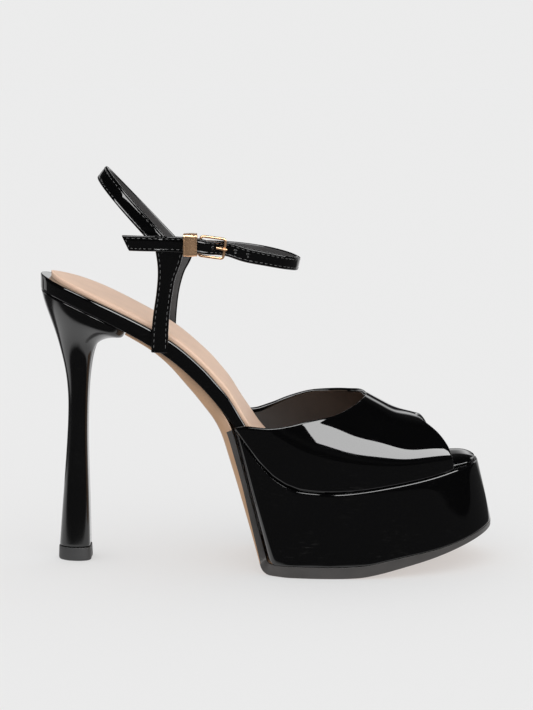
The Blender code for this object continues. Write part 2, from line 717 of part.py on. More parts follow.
def front_rows():
    """Front strap: from the medial stay round the front, through the buckle to the free end."""
    rows = []
    for ahead, across, drop, medial, lean, width in zip(*FRONT_STRAP.values()):
        rows.append((STAY_X + ahead * ANKLE_REACH, across * HALF_ANKLE,
                     STRAP_HEIGHT - drop * STRAP_WIDTH - medial * MEDIAL_DROP, lean, width * STRAP_WIDTH))
    outer = TAB_Y - LAYER
    for back, y in ((0.0, FRONT_BAR_Y + BAR_CLEAR), (0.2, FRONT_BAR_Y + BAR_CLEAR - LAYER * 0.4),
                    (0.4, FRONT_BAR_Y - LAYER * 0.48), (0.62, TAB_Y - LAYER * 0.9)):
        rows.append((BUCKLE_FRONT - back * BUCKLE_LENGTH, y, BUCKLE_Z - (1 - back) * BUCKLE_DROP, 12,
                     STRAP_WIDTH * 0.92))
    return rows + [
        (BUCKLE_BACK, outer, BUCKLE_Z + STRAP_WIDTH * 0.02, 10, STRAP_WIDTH * 0.94),
        (BUCKLE_BACK - STRAP_WIDTH * 0.8, outer, STRAP_HEIGHT + STRAP_WIDTH * 0.30, 6, STRAP_WIDTH),
        (STAY_X, outer, STRAP_HEIGHT + STRAP_WIDTH * 0.36, 2, STRAP_WIDTH),
        (STAY_X - FREE_END / 2, outer - GAP, STRAP_HEIGHT + STRAP_WIDTH * 0.39, 0, STRAP_WIDTH),
        (STAY_X - FREE_END, outer + 3 * GAP, STRAP_HEIGHT + STRAP_WIDTH * 0.42, 0, STRAP_WIDTH),
    ]


def tube(points, radius):
    """Rings of a wire of the given radius along a list of points."""
    path = np.array(points, float)
    directions = np.gradient(path, axis=0)
    rings = []
    for place, direction in zip(path, directions):
        along = Vector(direction).normalized()
        side = along.cross(Vector((0, 0, 1))).normalized()
        up = side.cross(along)
        ring = []
        for k in range(WIRE_SIDES):
            angle = 2 * math.pi * k / WIRE_SIDES
            ring.append(tuple(Vector(place) + (side * math.cos(angle) + up * math.sin(angle)) * radius))
        rings.append(ring)
    return rings


def prong_points():
    """Prong: from just ahead of the rear bar, through the strap's hole and over the front bar."""
    bar_z = BUCKLE_Z - BUCKLE_DROP
    rise = (BUCKLE_WIRE + PRONG_WIRE) / 2 + GAP
    root = BUCKLE_BACK + BUCKLE_WIRE / 2 + GAP + PRONG_WIRE / 4
    span = BUCKLE_FRONT - root
    points = []
    for along, out in ((0.0, 0.0), (0.25, 0.02), (0.5, 0.15), (0.68, 0.50), (0.84, 0.88), (1.0, 1.0), (1.1, 0.98)):
        y = mix(TAB_Y, FRONT_BAR_Y, along) - rise * out
        points.append((root + span * along, y, mix(BUCKLE_Z, bar_z, along)))
    return points


def make_guide(name, rings):
    """A hidden helper shape that a boolean adds or cuts."""
    mesh = bpy.data.meshes.new(name)
    vertices, faces = loft(rings)
    mesh.from_pydata([tuple(v) for v in vertices], [], faces)
    form = bmesh.new()
    form.from_mesh(mesh)
    bmesh.ops.recalc_face_normals(form, faces=form.faces)
    form.to_mesh(mesh)
    form.free()
    guide = bpy.data.objects.new(name, mesh)
    guide.hide_render = True
    guide.display_type = "WIRE"
    bpy.context.scene.collection.objects.link(guide)
    return guide


def add_boolean(part, guide, operation):
    """Join or cut a part with a guide."""
    modifier = part.modifiers.new(guide.name, "BOOLEAN")
    modifier.operation = operation
    modifier.solver = "EXACT"
    modifier.object = guide


def make_ankle_strap():
    """Back strap, both stays, the buckle's tab and the front strap, joined where they meet."""
    vertices, faces = loft(ribbon(rear_rows(), 31, STRAP_THICKNESS))
    strap = add_object("ankle_strap", vertices, faces, *BLACK_PATENT)
    for name, side in (("stay_lateral", -1), ("stay_medial", 1)):
        add_boolean(strap, make_guide(name, ribbon(stay_rows(side), 14, STAY_THICKNESS)), "UNION")
    add_boolean(strap, make_guide("buckle_tab", ribbon(tab_rows(), 6, STRAP_THICKNESS * 0.93)), "UNION")
    front = ribbon(front_rows(), 60, STRAP_THICKNESS * 0.96, cut=STRAP_WIDTH * 0.5)
    add_boolean(strap, make_guide("front_strap", front), "UNION")
    add_boolean(strap, make_guide("prong_hole", tube(prong_points(), PRONG_WIRE / 2 + GAP)), "DIFFERENCE")
    return strap


def make_buckle_frame():
    """Rounded rectangular wire frame that slopes with the strap."""
    half_length = (BUCKLE_LENGTH - BUCKLE_WIRE) / 2
    half_width = (STRAP_WIDTH + BUCKLE_WIRE) / 2 + BUCKLE_CLEAR
    middle = Vector(((BUCKLE_BACK + BUCKLE_FRONT) / 2, (TAB_Y + FRONT_BAR_Y) / 2, BUCKLE_Z - BUCKLE_DROP / 2))
    along = Vector((BUCKLE_FRONT - BUCKLE_BACK, FRONT_BAR_Y - TAB_Y, -BUCKLE_DROP)).normalized()
    up = Vector((math.sin(math.radians(13)), 0, math.cos(math.radians(13))))
    up = (up - along * up.dot(along)).normalized()
    out = along.cross(up)
    corner = half_width * 0.35
    rings = []
    for quarter, (a, b) in enumerate(((1, 1), (-1, 1), (-1, -1), (1, -1))):
        for step in range(4):
            angle = math.pi / 2 * (quarter + step / 3)
            spoke = along * math.cos(angle) + up * math.sin(angle)
            centre = middle + along * a * (half_length - corner) + up * b * (half_width - corner) + spoke * corner
            ring = []
            for k in range(WIRE_SIDES):
                turn = 2 * math.pi * k / WIRE_SIDES
                ring.append(tuple(centre + (spoke * math.cos(turn) + out * math.sin(turn)) * BUCKLE_WIRE / 2))
            rings.append(ring)
    return add_object("buckle_frame", *closed_loop(rings), *ROSE_GOLD)


def make_keeper():
    """Plain band round the tab and the free end, next to the buckle."""
    thickness, clear = 2 * LAYER + 2 * GAP, 2 * GAP
    middle = Vector((BUCKLE_BACK - BUCKLE_WIRE / 2 - GAP - KEEPER_LENGTH / 2, TAB_Y - LAYER / 2,
                     STRAP_HEIGHT + STRAP_WIDTH * 0.29))
    half_depth, half_height = thickness / 2 + KEEPER_WALL / 2, STRAP_WIDTH / 2 + clear + KEEPER_WALL / 2
    rings = []
    for quarter, (a, b) in enumerate(((1, 1), (-1, 1), (-1, -1), (1, -1))):
        for step in range(3):
            angle = math.pi / 2 * (quarter + step / 2)
            corner = KEEPER_WALL * 0.6
            y = middle.y + a * (half_depth - corner) + math.cos(angle) * corner
            z = middle.z + b * (half_height - corner) + math.sin(angle) * corner
            ring = []
            for width, wall in rounded_box(-KEEPER_LENGTH / 2, KEEPER_LENGTH / 2, -KEEPER_WALL / 2,
                                           KEEPER_WALL / 2, KEEPER_WALL / 4, KEEPER_WALL / 4):
                ring.append((middle.x + width, y + math.cos(angle) * wall, z + math.sin(angle) * wall))
            rings.append(ring)
    return add_object("strap_keeper", *closed_loop(rings), *ROSE_GOLD)


def make_prong():
    """Prong of the buckle."""
    return add_object("buckle_prong", *loft(tube(prong_points(), PRONG_WIRE / 2)), *ROSE_GOLD)


def main():
    """Clears the scene and makes every piece of the shoe."""
    for old in list(bpy.data.objects):
        bpy.data.objects.remove(old, do_unlink=True)
    for make in (make_heel_tip, make_heel, make_outsole, make_platform, make_board, make_sock, make_upper,
                 make_ankle_strap, make_buckle_frame, make_prong, make_keeper):
        make()


main()
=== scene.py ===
"""Looks of the peep toe platform sandal for the right foot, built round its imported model.

Metres, in the frame of the model: +X to the toe, +Y to the inner side of the foot, +Z up.
"""
import math

import bmesh
import bpy
import numpy as np
from bpy.props import FloatProperty, FloatVectorProperty, IntProperty, PointerProperty
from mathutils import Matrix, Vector


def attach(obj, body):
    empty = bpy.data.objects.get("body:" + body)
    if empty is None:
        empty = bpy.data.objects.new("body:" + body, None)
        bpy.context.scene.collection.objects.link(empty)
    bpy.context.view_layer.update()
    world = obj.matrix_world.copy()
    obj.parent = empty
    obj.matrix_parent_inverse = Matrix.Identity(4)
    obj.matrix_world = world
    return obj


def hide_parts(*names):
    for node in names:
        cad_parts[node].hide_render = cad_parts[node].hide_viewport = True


bl_info = {
    "name": "Peep Toe Platform Sandal",
    "version": (1, 0, 0),
    "blender": (4, 5, 0),
    "location": "View3D > Sidebar > Sandal",
    "description": "Makes the visible pieces of a patent leather platform sandal round its packed model",
    "category": "Object",
}

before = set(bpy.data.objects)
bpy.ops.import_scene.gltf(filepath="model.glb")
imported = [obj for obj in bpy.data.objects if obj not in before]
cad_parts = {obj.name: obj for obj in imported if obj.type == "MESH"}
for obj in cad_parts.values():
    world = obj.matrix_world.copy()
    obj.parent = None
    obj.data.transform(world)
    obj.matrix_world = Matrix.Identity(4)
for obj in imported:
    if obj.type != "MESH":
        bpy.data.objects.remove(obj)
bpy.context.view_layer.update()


# Driving sizes of the model, in metres
LENGTH = 0.2173
BALL_WIDTH = 0.0860
HEEL_HEIGHT = 0.1326
PLATFORM_HEIGHT = 0.0406
TOE_SPRING = 0.0164
FOOTBED_SPRING = 0.0086
INSTEP_HEIGHT = 0.0388
GAP = 0.0003
HEEL_ROUND = 0.0270
TOE_ROUND = 0.0640
PLATFORM_BACK_SHARE = 0.4225
PLATFORM_BACK_SLANT = 0.0167
PLATFORM_TOE_SLANT = 0.0070
PLATFORM_SIDE_SLANT = 0.0014
PLATFORM_CORNER = 0.0040
PLATFORM_EDGE_ROUND = 0.0010
OUTSOLE_THICKNESS = 0.0058
WAIST_THICKNESS = 0.0052
BOARD_THICKNESS = 0.0070
BOARD_EDGE_ROUND = 0.0012
BOARD_TOE_SETBACK = 0.0014
SOCK_THICKNESS = 0.0018
SOCK_INSET = 0.0026
SOCK_HEEL_INSET = 0.0050
SOCK_FRONT_SHARE = 0.780
SOCK_LAP_SHARES = (0.38, 0.43)
BOARD_TOE_SHARES = (0.915, 0.940)
UPPER_WALL = 0.0020
FEATHER_INSET = 0.0022
SIDE_BULGE = 0.0012
SECTION_POWER = 2.5
BREAST_SHARE = 0.1947
TIP_HEIGHT = 0.0064
TIP_OVERHANG = 0.0005
STRAP_WIDTH = 0.0072
STRAP_THICKNESS = 0.0022
STAY_THICKNESS = 0.0019
ANKLE_WIDTH = 0.0614
ANKLE_REACH = 0.0314
ANKLE_RISE = 0.0335
STRAP_RISE = 0.0209
MEDIAL_DROP = 0.0034
STAY_SHARE = 0.2850
BUCKLE_WIRE = 0.0013
BUCKLE_LENGTH = 0.0129
BUCKLE_DROP = 0.0017
BUCKLE_AHEAD = 0.0150
BUCKLE_CLEAR = 0.0003
PRONG_WIRE = 0.0011
KEEPER_LENGTH = 0.0064
KEEPER_WALL = 0.0010
FREE_END = 0.0207
END_STEP = 0.00005
TIP_SHARE = 0.15
MM = 0.001


# Tables and shapes of the model

def table(columns, *rows):
    """Rows of a given table, kept as one list for each named column."""
    return dict(zip(columns.split(), np.array(rows, float).T))


# Plan of the sole: along is a share of the length, the others are shares of half the ball width
OUTLINE = table(
    "along lateral medial swing",
    (0.00, 0.628, 0.616, 0.00),
    (0.14, 0.628, 0.616, 0.00),
    (0.25, 0.600, 0.565, 0.00),
    (0.34, 0.585, 0.515, 0.00),
    (0.40, 0.635, 0.535, 0.00),
    (0.45, 0.745, 0.635, 0.00),
    (0.50, 0.880, 0.775, 0.00),
    (0.55, 0.960, 0.890, 0.00),
    (0.63, 1.000, 0.985, 0.00),
    (0.70, 1.000, 1.000, 0.00),
    (0.82, 0.990, 0.990, 0.05),
    (1.00, 0.980, 0.980, 0.10),
)

# Underside of the footbed: fall is a share of the drop from heel to ball, lift of the footbed spring
FOOT_LINE = table(
    "along fall lift rand",
    (0.00, 1.000, 0.00, 0.95),
    (0.08, 0.928, 0.00, 0.95),
    (0.18, 0.812, 0.00, 1.00),
    (0.28, 0.670, 0.00, 1.05),
    (0.35, 0.525, 0.00, 1.00),
    (0.40, 0.392, 0.00, 0.90),
    (0.44, 0.260, 0.00, 0.75),
    (0.48, 0.138, 0.00, 0.65),
    (0.52, 0.054, 0.00, 0.58),
    (0.57, 0.008, 0.00, 0.52),
    (0.63, 0.000, 0.00, 0.50),
    (0.76, 0.000, 0.30, 0.48),
    (0.85, 0.000, 0.58, 0.48),
    (0.92, 0.000, 0.87, 0.48),
    (1.00, 0.000, 1.04, 0.48),
)

# Bottom of the outsole: lift is a share of the toe spring, sole a share of the outsole's thickness
FLOOR_LINE = table(
    "along lift sole",
    (0.00, 0.00, 1.00),
    (0.66, 0.00, 1.00),
    (0.70, 0.03, 1.00),
    (0.74, 0.12, 0.99),
    (0.78, 0.24, 0.93),
    (0.85, 0.44, 0.71),
    (0.92, 0.69, 0.52),
    (1.00, 1.00, 0.48),
)

# Vamp sections: crown is a share of the instep height, inset of the feather inset
VAMP = table(
    "along crown inset",
    (0.40, 1.45, 0.10),
    (0.47, 1.58, 0.75),
    (0.56, 1.54, 1.00),
    (0.65, 1.26, 1.00),
    (0.717, 1.00, 1.00),
    (0.75, 0.875, 1.00),
    (0.79, 0.735, 1.00),
    (0.83, 0.645, 1.00),
    (0.865, 0.560, 1.00),
    (0.90, 0.420, 1.00),
    (0.94, 0.200, 1.00),
)

# Top line of the throat and edge of the peep toe: turn goes from 0 at the sole to 1 at the crown
THROAT = table(
    "turn lateral medial",
    (0.00, 0.4250, 0.4250),
    (0.08, 0.4590, 0.4640),
    (0.18, 0.5035, 0.5000),
    (0.30, 0.5670, 0.5480),
    (0.37, 0.6090, 0.5860),
    (0.49, 0.6540, 0.6390),
    (0.66, 0.6880, 0.6900),
    (0.85, 0.7080, 0.7100),
    (1.00, 0.7170, 0.7170),
)
PEEP = table(
    "turn lateral medial",
    (0.00, 0.9080, 0.8820),
    (0.20, 0.9030, 0.8760),
    (0.40, 0.8940, 0.8670),
    (0.61, 0.8760, 0.8540),
    (0.80, 0.8510, 0.8410),
    (1.00, 0.8280, 0.8280),
)

# Outsole: stage 0 to 1 is the waist, 1 to 2 the platform's back, 2 to 3 its corner, 3 to 4 the forefoot;
# draft is how far its edge leans in towards the floor, as a share of its thickness
OUTSOLE = table(
    "stage thickness inset bevel draft",
    (0.00, 0.24, 0.90, 0.60, 0.00),
    (0.25, 0.30, 0.85, 0.70, 0.00),
    (0.45, 0.55, 0.85, 0.85, 0.00),
    (0.65, 0.90, 0.85, 0.90, 0.00),
    (0.90, 1.10, 0.90, 0.90, 0.00),
    (1.05, 1.05, 0.80, 0.70, 0.00),
    (1.40, 0.85, 0.60, 0.55, 0.00),
    (2.00, 0.70, 0.50, 0.40, 0.05),
    (3.00, 1.115, 0.40, 0.10, 0.20),
    (3.08, 1.115, 0.10, 0.06, 0.20),
    (4.00, 1.115, 0.00, 0.06, 0.20),
)

# Heel, from the tip up: x as shares of the length, z as shares of the way up to the seat
HEEL = table(
    "level back_x back_z front_x front_z width flute",
    (0.00, 0.0320, 0.000, 0.1030, 0.000, 0.280, 0.02),
    (0.16, 0.0405, 0.173, 0.1022, 0.204, 0.250, 0.02),
    (0.38, 0.0522, 0.409, 0.1000, 0.481, 0.222, 0.03),
    (0.54, 0.0566, 0.567, 0.1024, 0.667, 0.232, 0.05),
    (0.65, 0.0522, 0.670, 0.1075, 0.789, 0.290, 0.08),
    (0.74, 0.0426, 0.753, 0.1162, 0.880, 0.390, 0.12),
    (0.82, 0.0314, 0.828, 0.1300, 0.929, 0.560, 0.13),
    (0.90, 0.0176, 0.900, 0.1590, 0.949, 0.765, 0.13),
    (0.96, 0.0056, 0.960, 0.1885, 0.957, 0.920, 0.10),
    (1.00, 0.0004, 1.000, 0.1947, 1.000, 0.980, 0.05),
)

# Stays: rise is a share of the way up, inward of the way in to the ankle; places ahead of the stays'
# middle and widths are shares of the strap's width
STAY = table(
    "rise inward lean lateral lateral_width medial medial_width",
    (0.000, 0.00, 90, -0.55, 1.10, -0.38, 1.06),
    (0.100, 0.02, 90, -0.53, 1.10, -0.37, 1.06),
    (0.280, 0.15, 90, -0.46, 1.08, -0.28, 1.02),
    (0.580, 0.55, 90, -0.17, 1.05, 0.00, 1.06),
    (0.710, 0.76, 89, -0.04, 1.15, 0.15, 1.30),
    (0.855, 0.94, 87, 0.13, 1.58, 0.36, 1.85),
    (1.000, 1.00, 84, 0.17, 1.95, 0.42, 2.15),
)

# Front strap up to the buckle: ahead is a share of the ankle's reach, across of its half width, drop and
# width of the strap's width, medial of the medial drop
FRONT_STRAP = table(
    "ahead across drop medial lean width",
    (-0.03, 1.000, 0.06, 1.0, 8, 1.00),
    (0.25, 1.003, 0.14, 1.0, 8, 1.00),
    (0.64, 0.965, 0.18, 1.0, 8, 1.00),
    (1.08, 0.830, 0.26, 1.0, 10, 0.98),
    (1.46, 0.665, 0.44, 1.0, 11, 0.95),
    (1.78, 0.410, 0.69, 1.0, 12, 0.92),
    (1.93, 0.000, 1.32, 0.0, 12, 0.90),
    (1.78, -0.410, 1.13, 0.0, 12, 0.90),
    (1.46, -0.655, 0.78, 0.0, 13, 0.92),
    (1.15, -0.800, 0.45, 0.0, 13, 0.94),
)

# Places of the sections along the sole, and how many lie on its round ends
STATION_SHARES = (*np.arange(0.0, 0.36, 0.03), *np.arange(0.36, 0.60, 0.012), *np.arange(0.60, 1.0, 0.03))
START_STATIONS, END_STATIONS = 10, 14

# Sizes that follow from the driving ones
BACK = -LENGTH / 2
TOE = LENGTH / 2
HALF_BALL = BALL_WIDTH / 2
PLATFORM_BACK_TOP = BACK + PLATFORM_BACK_SHARE * LENGTH
PLATFORM_BACK_LOW = PLATFORM_BACK_TOP + PLATFORM_BACK_SLANT
PLATFORM_FRONT_TOP = TOE - PLATFORM_TOE_SLANT
BREAST = BACK + BREAST_SHARE * LENGTH
STAY_X = BACK + STAY_SHARE * LENGTH
STRAP_HEIGHT = HEEL_HEIGHT + STRAP_RISE


def smooth_step(t, span, start, end, start_slope, end_slope):
    """Cubic between two values with given slopes, at a share t of the span."""
    first = (1 + 2 * t) * (1 - t) ** 2 * start + t * (1 - t) ** 2 * span * start_slope
    return first + t * t * (3 - 2 * t) * end - t * t * (1 - t) * span * end_slope


def curve(rows, column, at, key="along"):
    """Smooth curve through one column of a table that never overshoots its rows."""
    keys, values = rows[key], rows[column]
    spans = np.diff(keys)
    rises = np.diff(values) / spans
    slopes = np.zeros(len(keys))
    slopes[0], slopes[-1] = rises[0], rises[-1]
    for i in range(1, len(keys) - 1):
        product = rises[i - 1] * rises[i]
        slopes[i] = 2 * product / (rises[i - 1] + rises[i]) if product > 0 else 0.0
    at = min(max(at, keys[0]), keys[-1])
    k = min(max(int(np.searchsorted(keys, at)) - 1, 0), len(spans) - 1)
    t = (at - keys[k]) / spans[k]
    return float(smooth_step(t, spans[k], values[k], values[k + 1], slopes[k], slopes[k + 1]))


def share(x):
    """Share of the length at a place along the shoe."""
    return (x - BACK) / LENGTH


def mix(a, b, t):
    """Value a share t of the way from a to b."""
    return a + (b - a) * t


def ramp(at, start, end):
    """Share that rises from 0 at start to 1 at end."""
    return min(max((at - start) / (end - start), 0.0), 1.0)


def foot_line(x):
    """Height of the surface that carries the footbed."""
    fall = curve(FOOT_LINE, "fall", share(x)) * (HEEL_HEIGHT - PLATFORM_HEIGHT)
    return PLATFORM_HEIGHT + fall + curve(FOOT_LINE, "lift", share(x)) * FOOTBED_SPRING


def floor_line(x):
    """Height of the bottom of the outsole under the platform."""
    return curve(FLOOR_LINE, "lift", share(x)) * TOE_SPRING


def sole_depth(x):
    """Thickness of the outsole under the platform, less towards the toe."""
    return curve(FLOOR_LINE, "sole", share(x)) * OUTSOLE_THICKNESS


def slope_stretch(x):
    """How much longer a vertical cut through a sloping layer is than its thickness."""
    step = LENGTH / 400
    return math.hypot(1, (foot_line(x + step) - foot_line(x - step)) / (2 * step))


def footbed_top(x):
    """Height of the top of the board."""
    return foot_line(x) + GAP + BOARD_THICKNESS * curve(FOOT_LINE, "rand", share(x)) * slope_stretch(x)


def end_round(distance, reach):
    """Share of the full width that a round end leaves at a distance from its tip."""
    t = min(max(1 - distance / reach, 0.0), 1.0)
    return math.sqrt(1 - t * t)


def edges(x, back=BACK, front=TOE, inset=0.0):
    """Lateral and medial edge of the outline at x, for a piece with its own back, front and inset."""
    at = share(x)
    end = end_round(x - back, HEEL_ROUND) * end_round(front - x, TOE_ROUND)
    swing = curve(OUTLINE, "swing", at) * HALF_BALL
    lateral = curve(OUTLINE, "lateral", at) * HALF_BALL * end
    medial = curve(OUTLINE, "medial", at) * HALF_BALL * end
    return swing - max(lateral - inset, lateral * TIP_SHARE), swing + max(medial - inset, medial * TIP_SHARE)


def arc_places(tip, reach, count):
    """Places from the tip of a round end to where it is full, equally spaced round its arc."""
    first = math.copysign(END_STEP, reach)
    turns = [math.pi / 2 * i / (count - 1) for i in range(count)]
    return [tip + first + (reach - first) * (1 - math.cos(turn)) for turn in turns]


def stations(start, end, start_reach=0.0, end_reach=0.0):
    """Places along the sole, closer together on round ends and where the footbed bends most."""
    head = arc_places(start, start_reach, START_STATIONS) if start_reach else [start]
    tail = arc_places(end, -end_reach, END_STATIONS) if end_reach else [end]
    margin = LENGTH / 200
    places = [BACK + LENGTH * at for at in STATION_SHARES]
    middle = [x for x in places if head[-1] + margin < x < tail[-1] - margin]
    return head + middle + tail[::-1]


def section(left, right, low, high, low_round, high_round, upright=3, across=6, steps=2):
    """Points round a section from its low left corner up: corners rounded, sides split into equal parts."""
    limit = 0.49 * min(right - left, high - low)
    corners = ((left, low, 1, 1, low_round), (left, high, 1, -1, high_round),
               (right, high, -1, -1, high_round), (right, low, -1, 1, low_round))
    arcs = []
    for index, (y, z, in_y, in_z, radius) in enumerate(corners):
        radius = min(radius, limit)
        turns = [math.pi / 2 * i / steps for i in range(steps + 1)]
        if index % 2:
            turns.reverse()
        arcs.append([(y + in_y * radius * (1 - math.sin(turn)), z + in_z * radius * (1 - math.cos(turn)))
                     for turn in turns])
    ring = []
    for index, (arc, after) in enumerate(zip(arcs, arcs[1:] + arcs[:1])):
        parts = across if index % 2 else upright
        ring += arc
        ring += [tuple(mix(a, b, i / parts) for a, b in zip(arc[-1], after[0])) for i in range(1, parts)]
    return ring


def length(name, description, value, least):
    """A size that the panel shows in the scene's unit."""
    return FloatProperty(name=name, description=description, default=value, min=least, unit="LENGTH")


def colour(name, description, *value):
    """A colour that the panel shows as a swatch."""
    return FloatVectorProperty(name=name, description=description, subtype="COLOR", size=3, default=value,
                               min=0, max=1)


def strength(name, description, value):
    """A strength of light."""
    return FloatProperty(name=name, description=description, default=value, min=0)


class SandalSizes(bpy.types.PropertyGroup):
    """Sizes of the sewn and polished detail."""

    stitch_length: length("Stitch length", "Length of one stitch", 0.00165, 0.0005)
    stitch_gap: length("Stitch gap", "Space between two stitches", 0.00095, 0.0002)
    stitch_inset: length("Stitch inset", "From a strap's edge to its seam", 0.00125, 0.0004)
    thread_width: length("Thread width", "Thickness of the sewing thread", 0.00032, 0.0001)
    hole_width: length("Hole width", "Width of a punched hole", 0.0016, 0.0005)
    hole_spacing: length("Hole spacing", "From one punched hole to the next", 0.0062, 0.002)
    smoothness: IntProperty(name="Smoothness", description="How often the pieces are subdivided", default=2,
                            min=0, max=3)


class SandalColours(bpy.types.PropertyGroup):
    """Colours of the leathers, the rubber, the thread and the metal."""

    patent: colour("Patent", "Black patent leather", 0.0024, 0.0024, 0.0026)
    lining: colour("Vamp lining", "Dark brown lining in the vamp", 0.038, 0.030, 0.026)
    strap_lining: colour("Strap lining", "Dark grey lining of the straps", 0.045, 0.045, 0.047)
    sock: colour("Sock", "Pale leather of the sock", 0.91, 0.63, 0.46)
    sole: colour("Sole", "Tan leather of the outsole", 0.47, 0.29, 0.175)
    sole_edge: colour("Sole edge", "Dark stain on the edge of the forepart", 0.060, 0.056, 0.054)
    rubber: colour("Top piece", "Rubber that the heel stands on", 0.036, 0.036, 0.037)
    thread: colour("Thread", "Grey sewing thread", 0.12, 0.12, 0.12)
    metal: colour("Metal", "Rose gold of the buckle and the keeper", 0.93, 0.58, 0.34)


class StudioLook(bpy.types.PropertyGroup):
    """Floor and light of the studio."""

    floor: colour("Floor", "Pale floor and background", 0.836, 0.836, 0.836)
    side_panel: strength("Side panel", "Strength of the tall panel that the vamp mirrors", 7.0)
    room: strength("Room", "Strength of the even light of the room", 1.0)


# Geometry helpers

def smooth_grid(points, rounds):
    """Evens out a grid of points along both of its ways without shrinking it; its border stays."""
    for _ in range(rounds):
        for step in (0.5, -0.52):
            moved = points.copy()
            moved[1:-1, 1:-1] += step * ((points[2:, 1:-1] + points[:-2, 1:-1] + points[1:-1, 2:]
                                          + points[1:-1, :-2]) / 4 - points[1:-1, 1:-1])
            points = moved
    return points


def circle(centre, first, second, radius, count):
    """Points round a circle, from the first of its two directions towards the second."""
    turns = [2 * math.pi * k / count for k in range(count)]
    return [tuple(centre + (first * math.cos(turn) + second * math.sin(turn)) * radius) for turn in turns]


def loft_faces(rings, closed=False):
    """Vertices and faces through rings of equally many points, capped unless the rings meet."""
    count, total = len(rings[0]), len(rings)
    vertices = [tuple(point) for ring in rings for point in ring]
    faces = []
    for i in range(total if closed else total - 1):
        n = (i + 1) % total
        for j in range(count):
            k = (j + 1) % count
            faces.append((i * count + j, i * count + k, n * count + k, n * count + j))
    if not closed:
        for i in (0, total - 1):
            vertices.append(tuple(np.mean(np.array(rings[i]), axis=0)))
            faces += [(len(vertices) - 1, i * count + j, i * count + (j + 1) % count) for j in range(count)]
    return vertices, faces


def make_piece(name, vertices, faces, finishes, finish_of=None, crease=None, levels=None, slot=None,
               stands_for=()):
    """A smooth named piece with its materials, which rides with the shoe and stands for a model node."""
    mesh = bpy.data.meshes.new(name)
    mesh.from_pydata(vertices, [], faces)
    form = bmesh.new()
    form.from_mesh(mesh)
    form.faces.ensure_lookup_table()
    for face in form.faces:
        face.smooth = True
        face.material_index = finish_of(face.index) if finish_of else 0
    bmesh.ops.recalc_face_normals(form, faces=form.faces)
    if crease:
        layer = form.edges.layers.float.new("crease_edge")
        for edge in form.edges:
            edge[layer] = crease(*sorted(vertex.index for vertex in edge.verts))
    form.to_mesh(mesh)
    form.free()
    for finish in finishes:
        mesh.materials.append(finish)
    piece = bpy.data.objects.new(name, mesh)
    bpy.context.scene.collection.objects.link(piece)
    levels = bpy.context.scene.sandal_sizes.smoothness if levels is None else levels
    if levels:
        rounding = piece.modifiers.new("rounding", "SUBSURF")
        rounding.levels = rounding.render_levels = levels
    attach(piece, "root")
    if stands_for:
        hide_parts(*stands_for)
    return piece


def make_loft(name, rings, finishes, node, sharp_rings=None, sharp_lines=None, closed=False, **settings):
    """A piece lofted through rings that stands for a model node.

    sharp_rings and sharp_lines map a ring, or a place round it, to the sharpness of its edges.
    """
    count, total = len(rings[0]), len(rings)
    sharp_rings, sharp_lines = sharp_rings or {}, sharp_lines or {}

    def crease(a, b):
        if b >= count * total:
            return 0.0
        ring = a // count
        if ring == b // count:
            return sharp_rings.get(ring, sharp_rings.get(ring - total, 0.0))
        return sharp_lines.get(a % count, 0.0) if a % count == b % count else 0.0

    vertices, faces = loft_faces(rings, closed)
    return make_piece(name, vertices, faces, finishes, crease=crease if sharp_rings or sharp_lines else None,
                      slot=node, stands_for=(node,), **settings)


def rounded_corners(steps):
    """Sides of the corner, and the angles of its points, for each corner of a closed rounded frame."""
    for quarter, (a, b) in enumerate(((1, 1), (-1, 1), (-1, -1), (1, -1))):
        for step in range(steps):
            yield a, b, math.pi / 2 * (quarter + step / (steps - 1))


# Finishes

MIX_COLOURS = (6, 7)
SCUFF_STRETCH = (160.0, 900.0, 2600.0)
SCUFF_TONE = (0.045, 0.044, 0.043)
RUBBER_SCUFF_TONE = (0.16, 0.155, 0.15)
# Near black tones of the painted shade that stands for the open depth of a punched hole
HOLE_SHADE_TONES = ((0.001, 0.001, 0.001), (0.006, 0.005, 0.005))


def feed(tree, target, value):
    """Gives an input its value, or links it to the output that feeds it."""
    if isinstance(value, bpy.types.NodeSocket):
        tree.links.new(value, target)
    else:
        target.default_value = value


def add_node(tree, kind, values=None, **settings):
    """A node with its settings and its inputs."""
    node = tree.nodes.new("ShaderNode" + kind)
    for key, value in settings.items():
        setattr(node, key, value)
    for key, value in (values or {}).items():
        feed(tree, node.inputs[key], value)
    return node


def add_math(tree, operation, *values):
    """Result of a sum on values and outputs."""
    return add_node(tree, "Math", dict(enumerate(values)), operation=operation).outputs["Value"]


def add_range(tree, value, *limits):
    """A value carried from one range, or 0 to 1, to another; the limits are named as on the node."""
    names = ("From Min", "From Max", "To Min", "To Max")
    given = {name: limit for name, limit in zip(names, limits) if limit is not None}
    return add_node(tree, "MapRange", {"Value": value, **given}).outputs["Result"]


def add_noise(tree, place, **values):
    """Noise at a place."""
    return add_node(tree, "TexNoise", {"Vector": place, **values}).outputs["Fac"]


def object_place(tree):
    """Place on the piece itself."""
    return add_node(tree, "TexCoord").outputs["Object"]


def fill_grain(group, source):
    """Leather grain: small rounded cells with creases between them."""
    place = object_place(group)
    cells = add_node(group, "TexVoronoi", {"Randomness": 0.9, "Vector": place, "Scale": source["Scale"]},
                     feature="SMOOTH_F1")
    clouds = add_noise(group, place, Scale=90.0, Detail=4.0)
    parts = {"Factor": source["Unevenness"], "A": cells.outputs["Distance"], "B": clouds}
    mixed = add_node(group, "Mix", parts, data_type="FLOAT")
    return {"Height": mixed.outputs["Result"], "Tone": clouds}


